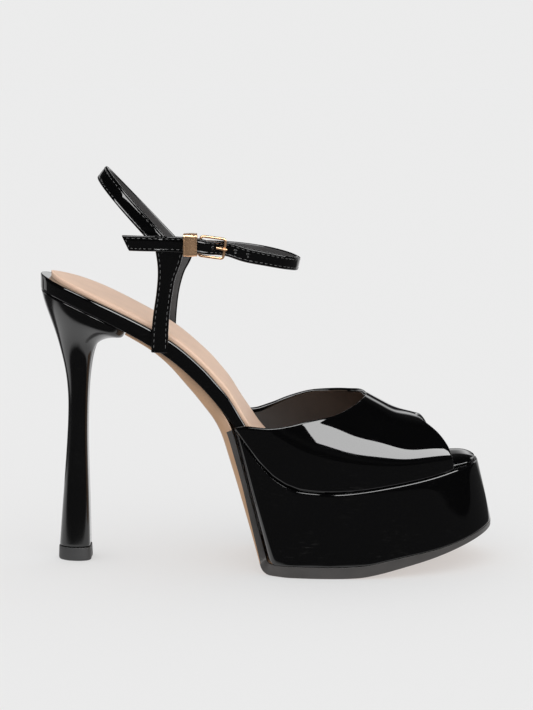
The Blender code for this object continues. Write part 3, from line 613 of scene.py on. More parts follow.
def fill_film(group, source):
    """Patent film: a very slow ripple of the coat, and a slow change of its gloss from handling."""
    place = object_place(group)
    ripple = add_noise(group, place, Detail=1.0, Roughness=0.4, Scale=source["Ripple"])
    handling = add_noise(group, place, Scale=38.0, Detail=5.0, Roughness=0.65)
    gloss = add_range(group, handling, 0.40, 0.68, source["Least"], source["Most"])
    return {"Height": ripple, "Roughness": gloss}


def fill_scuffs(group, source):
    """Fine scuffs: short scratches that lie one way, in patches, strongest near the floor."""
    place = object_place(group)
    stretch = add_node(group, "Mapping", {"Vector": place, "Scale": SCUFF_STRETCH}).outputs["Vector"]
    lines = add_range(group, add_noise(group, stretch, Scale=1.0, Detail=3.0), 0.62, 0.70)
    patches = add_range(group, add_noise(group, place, Scale=45.0, Detail=2.0), 0.50, 0.66)
    height = add_node(group, "SeparateXYZ", {"Vector": place}).outputs["Z"]
    low = add_range(group, height, 0.0, source["Reach"], 1.0, 0.0)
    sides = add_node(group, "Mix", {"Factor": source["Floor share"], "A": 1.0, "B": low}, data_type="FLOAT")
    mask = add_math(group, "MULTIPLY", lines, patches)
    mask = add_math(group, "MULTIPLY", mask, sides.outputs["Result"])
    return {"Mask": add_math(group, "MULTIPLY", mask, source["Amount"])}


GROUPS = {
    "Leather grain": (fill_grain, {"Scale": 1500.0, "Unevenness": 0.3}, ("Height", "Tone")),
    "Patent film": (fill_film, {"Ripple": 55.0, "Least": 0.03, "Most": 0.09}, ("Height", "Roughness")),
    "Fine scuffs": (fill_scuffs, {"Amount": 0.3, "Reach": 0.02, "Floor share": 0.8}, ("Mask",)),
}


def place_group(tree, name, **values):
    """Outputs of a shared node group, placed in a material with that material's own values."""
    group = bpy.data.node_groups.get(name)
    fill, inputs, outputs = GROUPS[name]
    if group is None:
        group = bpy.data.node_groups.new(name, "ShaderNodeTree")
        for label in (*inputs, *outputs):
            way = "INPUT" if label in inputs else "OUTPUT"
            socket = group.interface.new_socket(name=label, in_out=way, socket_type="NodeSocketFloat")
            if label in inputs:
                socket.default_value = inputs[label]
        results = fill(group, group.nodes.new("NodeGroupInput").outputs)
        sink = group.nodes.new("NodeGroupOutput")
        for label, result in results.items():
            group.links.new(result, sink.inputs[label])
    node = tree.nodes.new("ShaderNodeGroup")
    node.node_tree = group
    for key, value in values.items():
        node.inputs[key.replace("_", " ")].default_value = value
    return node.outputs


def make_finish(name, fill):
    """A material of this name, made once: fill maps its shader's inputs to values and outputs."""
    if name in bpy.data.materials:
        return bpy.data.materials[name]
    material = bpy.data.materials.new(name)
    material.use_nodes = True
    tree = material.node_tree
    shader = tree.nodes["Principled BSDF"]
    for key, value in fill(tree).items():
        feed(tree, shader.inputs[key], value)
    return material


def chosen(name, factor=1.0):
    """A colour of the panel, made darker or paler by a factor."""
    return shade(getattr(bpy.context.scene.sandal_colours, name), factor)


def shade(colour, factor):
    """A colour made darker or paler by a factor."""
    return tuple(min(channel * factor, 1.0) for channel in colour)


def tones(tree, mask, dark, pale):
    """A colour that goes from dark to pale as a mask rises; each is a colour or an output."""
    node = add_node(tree, "Mix", {"Factor": mask}, data_type="RGBA")
    for place, tone in zip(MIX_COLOURS, (dark, pale)):
        feed(tree, node.inputs[place], tone if isinstance(tone, bpy.types.NodeSocket) else (*tone, 1.0))
    return node.outputs[2]


def raised(tree, height, distance):
    """Normal of a surface raised by a height times a real distance in metres."""
    return add_node(tree, "Bump", {"Strength": 1.0, "Distance": distance, "Height": height}).outputs["Normal"]


def patent_finish(name="patent leather", ripple=0.00006, film=55.0, least=0.025, most=0.07, coat_blur=0.02):
    """Black patent leather: a dark leather under a near mirror of clear film."""
    def fill(tree):
        coat = place_group(tree, "Patent film", Ripple=film, Least=least, Most=most)
        scuffs = place_group(tree, "Fine scuffs", Amount=0.8, Reach=0.030, Floor_share=0.75)["Mask"]
        return {
            "Base Color": tones(tree, scuffs, chosen("patent"), SCUFF_TONE),
            "Roughness": add_math(tree, "MULTIPLY_ADD", scuffs, 0.25, coat["Roughness"]),
            "Normal": raised(tree, coat["Height"], ripple),
            "Coat Weight": 0.55,
            "Coat Roughness": coat_blur,
            "Coat IOR": 1.5,
        }
    return make_finish(name, fill)


def grained_finish(name, colour, roughness, scale, depth, contrast, sheen=0.0):
    """Grained leather in one of the panel's colours with slow changes of tone."""
    def fill(tree):
        grain = place_group(tree, "Leather grain", Scale=scale, Unevenness=0.3)
        dark, pale = chosen(colour, 1 - contrast), chosen(colour, 1 + contrast)
        return {
            "Base Color": tones(tree, grain["Tone"], dark, pale),
            "Normal": raised(tree, grain["Height"], depth),
            "Roughness": roughness,
            "Specular IOR Level": 0.35,
            "Sheen Weight": sheen,
        }
    return make_finish(name, fill)


def sole_finish():
    """Tan sole leather, polished, with fine scuffs where it has been walked on."""
    def fill(tree):
        grain = place_group(tree, "Leather grain", Scale=2300.0, Unevenness=0.6)
        scuffs = place_group(tree, "Fine scuffs", Amount=1.0, Reach=0.004, Floor_share=0.9)
        clean = tones(tree, grain["Tone"], chosen("sole", 0.80), chosen("sole", 1.18))
        return {
            "Base Color": tones(tree, scuffs["Mask"], clean, chosen("sole", 0.45)),
            "Normal": raised(tree, grain["Height"], 0.00004),
            "Roughness": 0.38,
        }
    return make_finish("sole leather", fill)


def rubber_finish():
    """Dull rubber of the heel's top piece with a fine moulded grain."""
    def fill(tree):
        grain = place_group(tree, "Leather grain", Scale=3200.0, Unevenness=0.5)
        scuffs = place_group(tree, "Fine scuffs", Amount=0.9, Reach=0.005, Floor_share=0.6)
        return {
            "Base Color": tones(tree, scuffs["Mask"], chosen("rubber"), RUBBER_SCUFF_TONE),
            "Normal": raised(tree, grain["Height"], 0.00004),
            "Roughness": 0.55,
        }
    return make_finish("top piece rubber", fill)


def metal_finish():
    """Polished rose gold with very fine rubbing marks."""
    def fill(tree):
        film = place_group(tree, "Patent film", Ripple=260.0, Least=0.20, Most=0.30)
        scuffs = place_group(tree, "Fine scuffs", Amount=0.2, Reach=1.0, Floor_share=0.1)
        return {
            "Base Color": tones(tree, scuffs["Mask"], chosen("metal"), chosen("metal", 0.72)),
            "Roughness": film["Roughness"],
            "Normal": raised(tree, film["Height"], 0.000005),
            "Metallic": 0.85,
        }
    return make_finish("rose gold", fill)


def thread_finish():
    """Grey sewing thread, its twist shown as fine slanting ridges, with painted shade in the grooves between
    them and painted highlight on their crests.
    """
    def fill(tree):
        twist_and_shade = add_node(tree, "TexWave", {"Scale": 900.0, "Distortion": 0.6, "Vector": object_place(tree)},
                         bands_direction="DIAGONAL").outputs["Fac"]
        return {
            # Colour follows the twist: darker in its grooves and paler on its crests, as painted shade and
            # painted highlight
            "Base Color": tones(tree, twist_and_shade, chosen("thread", 0.6), chosen("thread", 1.15)),
            "Normal": raised(tree, twist_and_shade, 0.00004),
            "Roughness": 0.5,
        }
    return make_finish("sewing thread", fill)


def hole_shade_finish():
    """Painted shade: a near black disc with a faint grain, standing for the shadowed depth of a punched hole.
    """
    def fill(tree):
        grain = place_group(tree, "Leather grain", Scale=2600.0)
        return {"Base Color": tones(tree, grain["Tone"], *HOLE_SHADE_TONES), "Roughness": 0.9}
    return make_finish("hole inside", fill)


# Sole, heel and footbed

# Forms that only the visible pieces have
BOARD_ROLL = 2.2 * MM
BOARD_ROLL_REACH = 9 * MM
SOCK_CROWN = 0.5 * MM
SOCK_SIDE = 0.9 * MM
SOLE_END_SHARE = 0.9
STAIN_START_SIDE, STAIN_START_BOTTOM, UNSTAINED_FROM = 0.99, 1.95, 2.9
HEEL_LEVELS = (0.0, 0.02, 0.08, 0.16, 0.27, 0.38, 0.46, 0.54, 0.60, 0.65, 0.70, 0.74, 0.78, 0.82, 0.86, 0.90,
               0.93, 0.96, 0.985, 1.0)
HEEL_ROUND_SHARE = 0.62
HEEL_FRONT_CORNER = ((0.80, 0.97), (0.93, 0.83), (0.99, 0.62))


def make_board():
    """Insole board whose rand is covered in patent leather; inside the vamp it steps in behind the wall."""
    front = PLATFORM_FRONT_TOP - BOARD_TOE_SETBACK
    lap_start, lap_end = share(PLATFORM_BACK_TOP) - 0.030, share(PLATFORM_BACK_TOP)
    tuck = 1.4 * UPPER_WALL + 4 * GAP
    rings = []
    for x in stations(BACK, front, HEEL_ROUND, TOE_ROUND):
        lap = ramp(share(x), lap_start, lap_end) * (1 - 0.9 * ramp(share(x), *BOARD_TOE_SHARES))
        inset = curve(VAMP, "inset", share(x))
        lateral, medial = edges(x, front=front, inset=lap * (FEATHER_INSET * inset + tuck))
        edge = BOARD_EDGE_ROUND * (1 + ramp(share(x), SOCK_FRONT_SHARE, BOARD_TOE_SHARES[0]))
        ring = section(lateral, medial, foot_line(x) + GAP, footbed_top(x), BOARD_EDGE_ROUND / 2, edge)
        roll = BOARD_ROLL * ramp(share(x), SOCK_FRONT_SHARE, BOARD_TOE_SHARES[0])
        top = []
        for y, z in ring:
            rim = min(y - lateral, medial - y, front - x)
            fall = roll * max(1 - rim / BOARD_ROLL_REACH, 0.0) ** 2
            top.append((x, y, z - fall * ramp(z, foot_line(x) + GAP, footbed_top(x))))
        rings.append(top)
    make_loft("covered_board", rings, [patent_finish()], "insole_board")


def make_sock():
    """Padded sock of pale leather, short of the peep toe."""
    back, front = BACK + SOCK_HEEL_INSET, BACK + SOCK_FRONT_SHARE * LENGTH
    board_front = PLATFORM_FRONT_TOP - BOARD_TOE_SETBACK
    rings = []
    for x in stations(back, front, HEEL_ROUND):
        inset = SOCK_INSET + ramp(share(x), *SOCK_LAP_SHARES) * (FEATHER_INSET + UPPER_WALL)
        lateral, medial = edges(x, back=back, front=board_front, inset=inset)
        low = footbed_top(x) - GAP
        high = footbed_top(x) + GAP + SOCK_THICKNESS * slope_stretch(x)
        ring = []
        for y, z in section(lateral, medial, low, high, 0.0002, SOCK_THICKNESS * 0.62, 2, 10):
            across = (2 * y - lateral - medial) / (medial - lateral)
            crown = SOCK_CROWN * max(1 - across ** 2, 0) ** 0.5
            ring.append((x, y, z + (crown if z > low + SOCK_SIDE else 0.0)))
        rings.append(ring)
    finish = grained_finish("sock leather", "sock", 0.50, 1700.0, 0.00007, 0.09, sheen=0.15)
    sock = make_loft("padded_sock", rings, [finish], "sock_lining", None, {0: 0.6, 1: 0.4})


def corner_cut(distance):
    """How far a rounded corner of the platform's back lies inside its square outline."""
    rest = max(PLATFORM_CORNER - distance, 0.0)
    return PLATFORM_CORNER - math.sqrt(PLATFORM_CORNER ** 2 - rest ** 2)


def make_platform():
    """Patent covered platform with a slanting back and a slanting toe."""
    span = PLATFORM_FRONT_TOP - PLATFORM_BACK_TOP
    corner = [PLATFORM_BACK_TOP + PLATFORM_CORNER * (1 - math.cos(math.radians(a))) for a in (0, 25, 50, 75)]
    rings = []
    for high_x in corner + stations(PLATFORM_BACK_TOP + PLATFORM_CORNER, PLATFORM_FRONT_TOP, 0, TOE_ROUND):
        level = (high_x - PLATFORM_BACK_TOP) / span
        low_x = mix(PLATFORM_BACK_LOW, TOE, level)
        cut = corner_cut(level * span)
        high_edges = edges(high_x, front=PLATFORM_FRONT_TOP, inset=PLATFORM_SIDE_SLANT + cut)
        low_edges = edges(low_x, inset=cut)
        high = foot_line(high_x)
        low = floor_line(low_x) + sole_depth(low_x) + GAP + cut
        width = (high_edges[1] - high_edges[0] + low_edges[1] - low_edges[0]) / 2
        ring = []
        for y, z in section(-width / 2, width / 2, 0, high - low, GAP, PLATFORM_EDGE_ROUND, 5, 10):
            up, across = z / (high - low), y / width + 0.5
            lateral, medial = mix(low_edges[0], high_edges[0], up), mix(low_edges[1], high_edges[1], up)
            ring.append((mix(low_x, high_x, up), mix(lateral, medial, across), low + z))
        rings.append(ring)
    make_loft("covered_platform", rings, [patent_finish()], "platform", {0: 0.7}, {0: 0.8, 2: 0.8})


def outsole_path():
    """Stage, x and z along the outsole's inner face, from the heel breast to the toe."""
    path = []
    start, stop = BREAST - GAP, PLATFORM_BACK_TOP - 3 * GAP
    for i in range(15):
        x = mix(start, stop, i / 15)
        path.append((i / 15, x, foot_line(x)))
    low = OUTSOLE_THICKNESS
    slant = Vector((PLATFORM_BACK_SLANT, low + GAP - foot_line(PLATFORM_BACK_TOP))).normalized()
    outward = Vector((slant.y, -slant.x))
    turn = math.acos(slant.x)
    radius = PLATFORM_CORNER / 2
    tangent = radius * math.tan(turn / 2)
    top = Vector((PLATFORM_BACK_TOP, foot_line(PLATFORM_BACK_TOP))) + outward * 1.5 * GAP
    corner = top + slant * (low - top.y) / slant.y
    first = top + slant * 6 * GAP
    last = corner - slant * tangent
    for i in range(8):
        point = first.lerp(last, i / 7)
        path.append((1 + i / 8, point.x, point.y))
    middle = last - outward * radius
    for i in range(1, 5):
        angle = turn * (1 - i / 5)
        path.append((2 + i / 5, middle.x - radius * math.sin(angle), middle.y - radius * math.cos(angle)))
    heel_side = corner.x + tangent
    for x in stations(heel_side, TOE, 0, TOE_ROUND):
        path.append((3 + (x - heel_side) / (TOE - heel_side), x, floor_line(x) + sole_depth(x)))
    return path


def make_outsole():
    """Leather sole: the waist under the arch, down the platform's back and along its bottom."""
    path = outsole_path()
    rings = []
    for i, (stage, x, z) in enumerate(path):
        before, after = path[max(i - 1, 0)], path[min(i + 1, len(path) - 1)]
        along = Vector((after[1] - before[1], after[2] - before[2])).normalized()
        outward = Vector((along.y, -along.x))
        thickness = curve(OUTSOLE, "thickness", stage, "stage") * WAIST_THICKNESS
        if stage >= 3:
            thickness, outward = sole_depth(x), Vector((0, -1))
        inset = curve(OUTSOLE, "inset", stage, "stage") * PLATFORM_CORNER * SOLE_END_SHARE
        taper = 1 - 0.85 * ramp(stage, 1.3, 1.95) if stage < 3 else 1
        bevel = curve(OUTSOLE, "bevel", stage, "stage") * thickness * taper
        side = x
        if 1 <= stage < 3:
            side = mix(PLATFORM_BACK_TOP, PLATFORM_BACK_LOW, (stage - 1) / 2)
        lateral, medial = edges(side, inset=inset)
        middle, half = (lateral + medial) / 2, (medial - lateral) / 2
        lean = min(curve(OUTSOLE, "draft", stage, "stage") * thickness, half / 2) / half / thickness
        ring = []
        for y, depth in section(lateral, medial, -thickness, 0, bevel, GAP, 1, 8, steps=3):
            across = middle + (y - middle) * (1 + lean * depth)
            ring.append((x - outward.x * depth, across, z - outward.y * depth))
        rings.append(ring)
    count = len(rings[0])
    starts = {place: STAIN_START_BOTTOM for place in (0, 1, 2, 19, 20, 21)}
    starts.update({place: STAIN_START_SIDE for place in (3, 4, 5, 6, 15, 16, 17, 18)})

    def finish_of(face):
        stage, place = path[min(face // count, len(path) - 1)][0], face % count
        stained = stage > starts.get(place, 4.0) and not (stage > UNSTAINED_FROM and place in (0, 21))
        return 1 if stained and face < (len(rings) - 1) * count else 0

    edge = grained_finish("stained sole edge", "sole_edge", 0.4, 2000.0, 0.00004, 0.3)
    make_loft("leather_outsole", rings, [sole_finish(), edge], "outsole", {0: 0.8}, {3: 0.5, 4: 0.8, 0: 0.3},
              finish_of=finish_of)


def heel_ring(level, grow=0.0, drop=None):
    """Points round the heel at a level, round at the back and hollow at the front."""
    floor = TIP_HEIGHT + GAP
    back_x = BACK + curve(HEEL, "back_x", level, "level") * LENGTH - grow
    front_x = BACK + curve(HEEL, "front_x", level, "level") * LENGTH + grow
    seat_back, seat_front = foot_line(BACK), foot_line(BREAST)
    back_z = mix(floor, seat_back, curve(HEEL, "back_z", level, "level"))
    front_z = mix(floor, seat_front, curve(HEEL, "front_z", level, "level"))
    seat = edges(BACK + HEEL_ROUND)
    half = (seat[1] - seat[0]) / 2 * curve(HEEL, "width", level, "level") + grow
    flute = curve(HEEL, "flute", level, "level")
    turns = [math.pi / 2 * step / 8 for step in range(9)]
    outline = [(HEEL_ROUND_SHARE * (1 - math.cos(turn)), math.sin(turn)) for turn in turns]
    outline += [*HEEL_FRONT_CORNER, (1 - 0.5 * flute, 0.34), (1 - flute, 0.0)]
    points = []
    for along, across in [(a, -b) for a, b in outline] + outline[-2:0:-1]:
        x = mix(back_x, front_x, along)
        z = mix(back_z, front_z, along)
        if drop is None:
            chord = mix(seat_back, seat_front, along)
            z += (foot_line(x) - chord) * level ** 10
        else:
            z = drop
        points.append((x, (seat[0] + seat[1]) / 2 + half * across, z))
    return points


def make_heel():
    """Tall covered heel that flares up to the seat, with a hollow breast."""
    finish = patent_finish("patent heel cover", least=0.12, most=0.18, coat_blur=0.13)
    rings = [heel_ring(level) for level in HEEL_LEVELS]
    make_loft("covered_heel", rings, [finish], "heel", {0: 0.8, -1: 0.9})


def make_heel_tip():
    """Rubber top piece with softened edges."""
    overhangs = (TIP_OVERHANG - GAP, TIP_OVERHANG, TIP_OVERHANG * 0.9, TIP_OVERHANG * 0.6, TIP_OVERHANG / 2,
                 TIP_OVERHANG / 4)
    heights = (0.0, GAP, TIP_HEIGHT * 0.3, TIP_HEIGHT * 0.8, TIP_HEIGHT - GAP / 2, TIP_HEIGHT)
    rings = [heel_ring(0, overhang, height) for overhang, height in zip(overhangs, heights)]
    make_loft("rubber_top_piece", rings, [rubber_finish()], "heel_tip", {0: 0.9, -1: 0.6})


# Vamp

VAMP_AROUND = 44
VAMP_PLACES = (0.0, 0.015, 0.05, *np.linspace(0.11, 0.89, 14), 0.95, 0.985, 1.0)
VAMP_EVENING = 30


def vamp_point(x, turn):
    """Point of the vamp's outer face: turn runs from 0 at the lateral sole to 2 at the medial one."""
    angle = math.pi / 2 * turn
    inset = FEATHER_INSET * curve(VAMP, "inset", share(x))
    lateral, medial = edges(x, front=PLATFORM_FRONT_TOP, inset=inset)
    power = 2 / SECTION_POWER
    up = abs(math.sin(angle)) ** power
    across = math.copysign(abs(math.cos(angle)) ** power, -math.cos(angle))
    half = (medial - lateral) / 2 + SIDE_BULGE * 4 * up * (1 - up)
    y = (medial + lateral) / 2 + half * across
    z = foot_line(x) + GAP + INSTEP_HEIGHT * curve(VAMP, "crown", share(x)) * up
    return np.array((x, y, z))


def make_vamp():
    """Vamp of patent leather over a brown lining, its edges folded over and rolled."""
    around, along = VAMP_AROUND, len(VAMP_PLACES) - 1
    outer = np.zeros((around + 1, along + 1, 3))
    for j in range(around + 1):
        turn = 2 * j / around
        from_sole = min(turn, 2 - turn)
        side = "lateral" if turn <= 1 else "medial"
        start = BACK + curve(THROAT, side, from_sole, "turn") * LENGTH
        stop = BACK + curve(PEEP, side, from_sole, "turn") * LENGTH
        for i, place in enumerate(VAMP_PLACES):
            outer[j, i] = vamp_point(mix(start, stop, place), turn)
    outer = smooth_grid(outer, VAMP_EVENING)
    across, forward = np.gradient(outer, axis=0), np.gradient(outer, axis=1)
    normals = np.cross(forward, across)
    normals /= np.linalg.norm(normals, axis=2, keepdims=True)
    if normals[around // 2, along // 2, 2] < 0:
        normals = -normals
    inner = outer - normals * UPPER_WALL
    for j in (0, around):
        inner[j, :, 2] = outer[j, :, 2]
    vertices = np.concatenate((outer.reshape(-1, 3), inner.reshape(-1, 3)))
    row, layer = along + 1, (around + 1) * (along + 1)
    faces, lined = [], set()
    for j in range(around):
        for i in range(along):
            a = j * row + i
            faces.append((a, a + 1, a + row + 1, a + row))
            if 0 < i < along - 1:
                lined.add(len(faces))
            faces.append((layer + a + row, layer + a + row + 1, layer + a + 1, layer + a))
    rim = [i for i in range(along)] + [j * row + along for j in range(around)]
    rim += [around * row + i for i in range(along, 0, -1)] + [j * row for j in range(around, 0, -1)]
    for a, b in zip(rim, rim[1:] + rim[:1]):
        faces.append((b, a, layer + a, layer + b))

    def crease(a, b):
        feather = all((v % layer) // row in (0, around) for v in (a, b))
        return 0.9 if feather else 0.0

    lining = grained_finish("vamp lining", "lining", 0.55, 1300.0, 0.00005, 0.25)
    make_piece("patent_vamp", [tuple(v) for v in vertices], faces, [patent_finish(), lining],
               lambda face: 1 if face in lined else 0, crease, slot="upper", stands_for=("upper",))


# Ankle strap

STRAP_END = 0.4 * MM
SEAM_MARGIN = 1.0 * MM
STAY_SEAM_MARGINS = (1.6 * MM, 3.6 * MM)
SEAM_DEPTH = 0.17 * MM
# Along the prong: share of the way to the front bar, share of its rise over the bars
PRONG_ARCH = ((0.0, 0.0), (0.25, 0.02), (0.5, 0.15), (0.68, 0.50), (0.84, 0.88), (1.0, 1.0), (1.1, 0.98))

# Along a stitch: share of its length, share of its thickness, height in thread radii
STITCH_SHAPE = ((0.0, 0.35, -0.9), (0.16, 0.85, -0.25), (0.5, 1.0, 0.15), (0.84, 0.85, -0.25),
                (1.0, 0.35, -0.9))
HOLES = 4
FASTENED_HOLE = 2
FIRST_HOLE_X = -0.0099
# Out from a hole's middle: share of its radius, height in millimetres
HOLE_PROFILE = ((0.0, 0.02), (0.70, 0.02), (0.86, 0.07), (1.0, 0.11), (1.16, 0.10), (1.34, 0.0), (1.4, -0.1))
HALF_ANKLE = ANKLE_WIDTH / 2
LAYER = STRAP_THICKNESS + GAP
BAR_CLEAR = BUCKLE_WIRE / 2 + GAP + STRAP_THICKNESS / 2
BUCKLE_BACK = STAY_X + BUCKLE_AHEAD
BUCKLE_FRONT = BUCKLE_BACK + BUCKLE_LENGTH - BUCKLE_WIRE
TAB_Y = -HALF_ANKLE
FRONT_BAR_Y = TAB_Y + STRAP_WIDTH / 6
BUCKLE_Z = STRAP_HEIGHT + STRAP_WIDTH * 0.22


def smooth_path(points, count):
    """Points of a smooth curve through the rows of a route."""
    rows = np.array(points, float)
    lengths = np.concatenate(([0], np.cumsum(np.linalg.norm(np.diff(rows[:, :3], axis=0), axis=1))))
    slopes = np.gradient(rows, lengths, axis=0)
    out = []
    for place in np.linspace(0, lengths[-1], count):
        k = min(max(int(np.searchsorted(lengths, place)) - 1, 0), len(rows) - 2)
        span = lengths[k + 1] - lengths[k]
        t = (place - lengths[k]) / span
        out.append(smooth_step(t, span, rows[k], rows[k + 1], slopes[k], slopes[k + 1]))
    return np.array(out)


def rear_rows():
    """Back strap: half an ellipse in a slanting plane, from the lateral stay to the medial one."""
    rows = []
    for i in range(13):
        angle = math.pi * i / 12
        reach = math.sin(angle)
        rows.append((STAY_X - ANKLE_REACH * reach, -HALF_ANKLE * math.cos(angle),
                     STRAP_HEIGHT + ANKLE_RISE * reach - MEDIAL_DROP * max(-math.cos(angle), 0.0),
                     44 - 6 * reach, STRAP_WIDTH))
    return rows


def stay_rows(side):
    """Stay from the rand up to the ankle strap, on the lateral (-1) or medial (1) side."""
    column = "lateral" if side < 0 else "medial"
    foot_x = STAY_X + STAY["lateral"][0] * STRAP_WIDTH
    widest = edges(foot_x - STRAP_WIDTH / 2)[0 if side < 0 else 1]
    edge = widest + side * (2 * GAP + STAY_THICKNESS / 2)
    foot = foot_line(foot_x) + 2 * GAP
    rise = STRAP_HEIGHT + STRAP_WIDTH * 0.28 - foot - MEDIAL_DROP * max(side, 0)
    rows = []
    for i, at in enumerate(STAY["rise"]):
        rows.append((STAY_X + STAY[column][i] * STRAP_WIDTH, mix(edge, side * HALF_ANKLE, STAY["inward"][i]),
                     foot + at * rise, STAY["lean"][i], STAY[column + "_width"][i] * STRAP_WIDTH))
    return rows


def tab_rows():
    """Short strap that carries the buckle on the lateral side."""
    width = STRAP_WIDTH * 0.98
    return [
        (STAY_X - STRAP_WIDTH * 0.4, TAB_Y, STRAP_HEIGHT + STRAP_WIDTH * 0.31, 4, width),
        (STAY_X + STRAP_WIDTH * 0.8, TAB_Y, STRAP_HEIGHT + STRAP_WIDTH * 0.28, 8, width),
        (BUCKLE_BACK - BUCKLE_WIRE / 2 - GAP, TAB_Y, BUCKLE_Z, 12, width),
    ]


def front_rows():
    """Front strap: from the medial stay round the front, through the buckle to the free end."""
    rows = []
    for ahead, across, drop, medial, lean, width in zip(*FRONT_STRAP.values()):
        rows.append((STAY_X + ahead * ANKLE_REACH, across * HALF_ANKLE,
                     STRAP_HEIGHT - drop * STRAP_WIDTH - medial * MEDIAL_DROP, lean, width * STRAP_WIDTH))
    outer = TAB_Y - LAYER
    for back, y in ((0.0, FRONT_BAR_Y + BAR_CLEAR), (0.2, FRONT_BAR_Y + BAR_CLEAR - LAYER * 0.4),
                    (0.4, FRONT_BAR_Y - LAYER * 0.48), (0.62, TAB_Y - LAYER * 0.9)):
        rows.append((BUCKLE_FRONT - back * BUCKLE_LENGTH, y, BUCKLE_Z - (1 - back) * BUCKLE_DROP, 12,
                     STRAP_WIDTH * 0.92))
    return rows + [
        (BUCKLE_BACK, outer, BUCKLE_Z + STRAP_WIDTH * 0.02, 10, STRAP_WIDTH * 0.94),
        (BUCKLE_BACK - STRAP_WIDTH * 0.8, outer, STRAP_HEIGHT + STRAP_WIDTH * 0.30, 6, STRAP_WIDTH),
        (STAY_X, outer, STRAP_HEIGHT + STRAP_WIDTH * 0.36, 2, STRAP_WIDTH),
        (STAY_X - FREE_END / 2, outer - GAP, STRAP_HEIGHT + STRAP_WIDTH * 0.39, 0, STRAP_WIDTH),
        (STAY_X - FREE_END, outer + 3 * GAP, STRAP_HEIGHT + STRAP_WIDTH * 0.42, 0, STRAP_WIDTH),
    ]


def prong_points():
    """Prong: from just ahead of the rear bar, through the strap's hole and over the front bar."""
    bar_z = BUCKLE_Z - BUCKLE_DROP
    rise = (BUCKLE_WIRE + PRONG_WIRE) / 2 + GAP
    root = BUCKLE_BACK + BUCKLE_WIRE / 2 + GAP + PRONG_WIRE / 4
    span = BUCKLE_FRONT - root
    points = []
    for along, out in PRONG_ARCH:
        y = mix(TAB_Y, FRONT_BAR_Y, along) - rise * out
        points.append((root + span * along, y, mix(BUCKLE_Z, bar_z, along)))
    return points


class StrapRoute:
    """Middle line of a strap with its own directions, ready for its leather and its seams."""

    def __init__(self, rows, count, thickness, outer, cut=0.0):
        path = smooth_path(rows, count)
        steps = np.linalg.norm(np.diff(path[:, :3], axis=0), axis=1)
        self.reach = np.concatenate(([0.0], np.cumsum(steps)))
        self.total, self.thickness, self.cut = self.reach[-1], thickness, cut
        self.middle, self.width = path[:, :3], path[:, 4]
        directions = np.gradient(path[:, :3], axis=0)
        self.along, self.up, self.out = [], [], []
        for direction, lean in zip(directions, path[:, 3]):
            along = Vector(direction).normalized()
            up = Vector((math.sin(math.radians(lean)), 0, math.cos(math.radians(lean))))
            up = (up - along * up.dot(along)).normalized()
            self.along.append(along)
            self.up.append(up)
            self.out.append(along.cross(up) * outer)
        self.along, self.up, self.out = (np.array(v) for v in (self.along, self.up, self.out))

    def at(self, place, across, height):
        """Point at a place along the strap, a distance across it, and a height over its middle layer."""
        place = min(max(place, 0.0), self.total)

        def between(rows):
            return np.array([np.interp(place, self.reach, rows[:, k]) for k in range(3)])

        along = between(self.along)
        width = np.interp(place, self.reach, self.width)
        fade = 3.2 * self.cut
        shift = 0.0
        if self.cut and place > self.total - fade:
            shift = self.cut * (0.5 - across / width) * (1 - (self.total - place) / fade)
        return between(self.middle) + between(self.out) * height + between(self.up) * across - along * shift

    def width_at(self, place):
        """Width of the strap at a place along it."""
        return float(np.interp(place, self.reach, self.width))


def strap_section(half, width, inset):
    """Height and distance across of the points round a strap: puffed between its two sunken seams."""
    edge = width / 2
    side = [(-half, edge - 0.30 * MM), (-half * 0.55, edge - 0.03 * MM), (half * 0.1, edge),
            (half * 0.65, edge - 0.06 * MM), (half - 0.04 * MM, edge - 0.32 * MM), (half, edge - 0.70 * MM),
            (half - 0.10 * MM, edge - inset + 0.12 * MM), (half - SEAM_DEPTH, edge - inset),
            (half - 0.07 * MM, edge - inset - 0.30 * MM), (half, edge - inset - 0.85 * MM)]
    ring = side + [(height, -across) for height, across in side[::-1]]
    return ring + [(-half, -edge / 3), (-half, edge / 3)]


def make_strap(name, route):
    """One strap: patent leather outside and over its edges, dark lining inside."""
    inset = bpy.context.scene.sandal_sizes.stitch_inset
    rings = []
    for place in (0.0, STRAP_END, *route.reach[1:-1], route.total - STRAP_END, route.total):
        ring = strap_section(route.thickness / 2, route.width_at(place), inset)
        rings.append([route.at(place, across, height) for height, across in ring])
    count = len(rings[0])

    def finish_of(face):
        return 1 if face < (len(rings) - 1) * count and face % count >= count - 3 else 0

    outside = patent_finish("patent strap leather", 0.00016, 260.0, 0.03, 0.10)
    lining = grained_finish("strap lining", "strap_lining", 0.6, 1500.0, 0.00010, 0.35)
    make_loft(name, rings, [outside, lining], "ankle_strap", finish_of=finish_of, levels=1)


def capsule(start, end, out, radius, vertices, faces):
    """Adds one stitch: a short round thread that dips into the leather at both ends."""
    start, end, out = np.array(start), np.array(end), np.array(out)
    along = (end - start) / np.linalg.norm(end - start)
    side = np.cross(along, out)
    first = len(vertices)
    for share_along, size, lift in STITCH_SHAPE:
        centre = start + (end - start) * share_along + out * radius * lift
        vertices += circle(centre, side, out, radius * size, 6)
    for ring in range(len(STITCH_SHAPE) - 1):
        for k in range(6):
            a, b = first + ring * 6 + k, first + ring * 6 + (k + 1) % 6
            faces.append((a, b, b + 6, a + 6))
    faces.append(tuple(first + k for k in range(6)))
    faces.append(tuple(first + (len(STITCH_SHAPE) - 1) * 6 + k for k in range(6)))


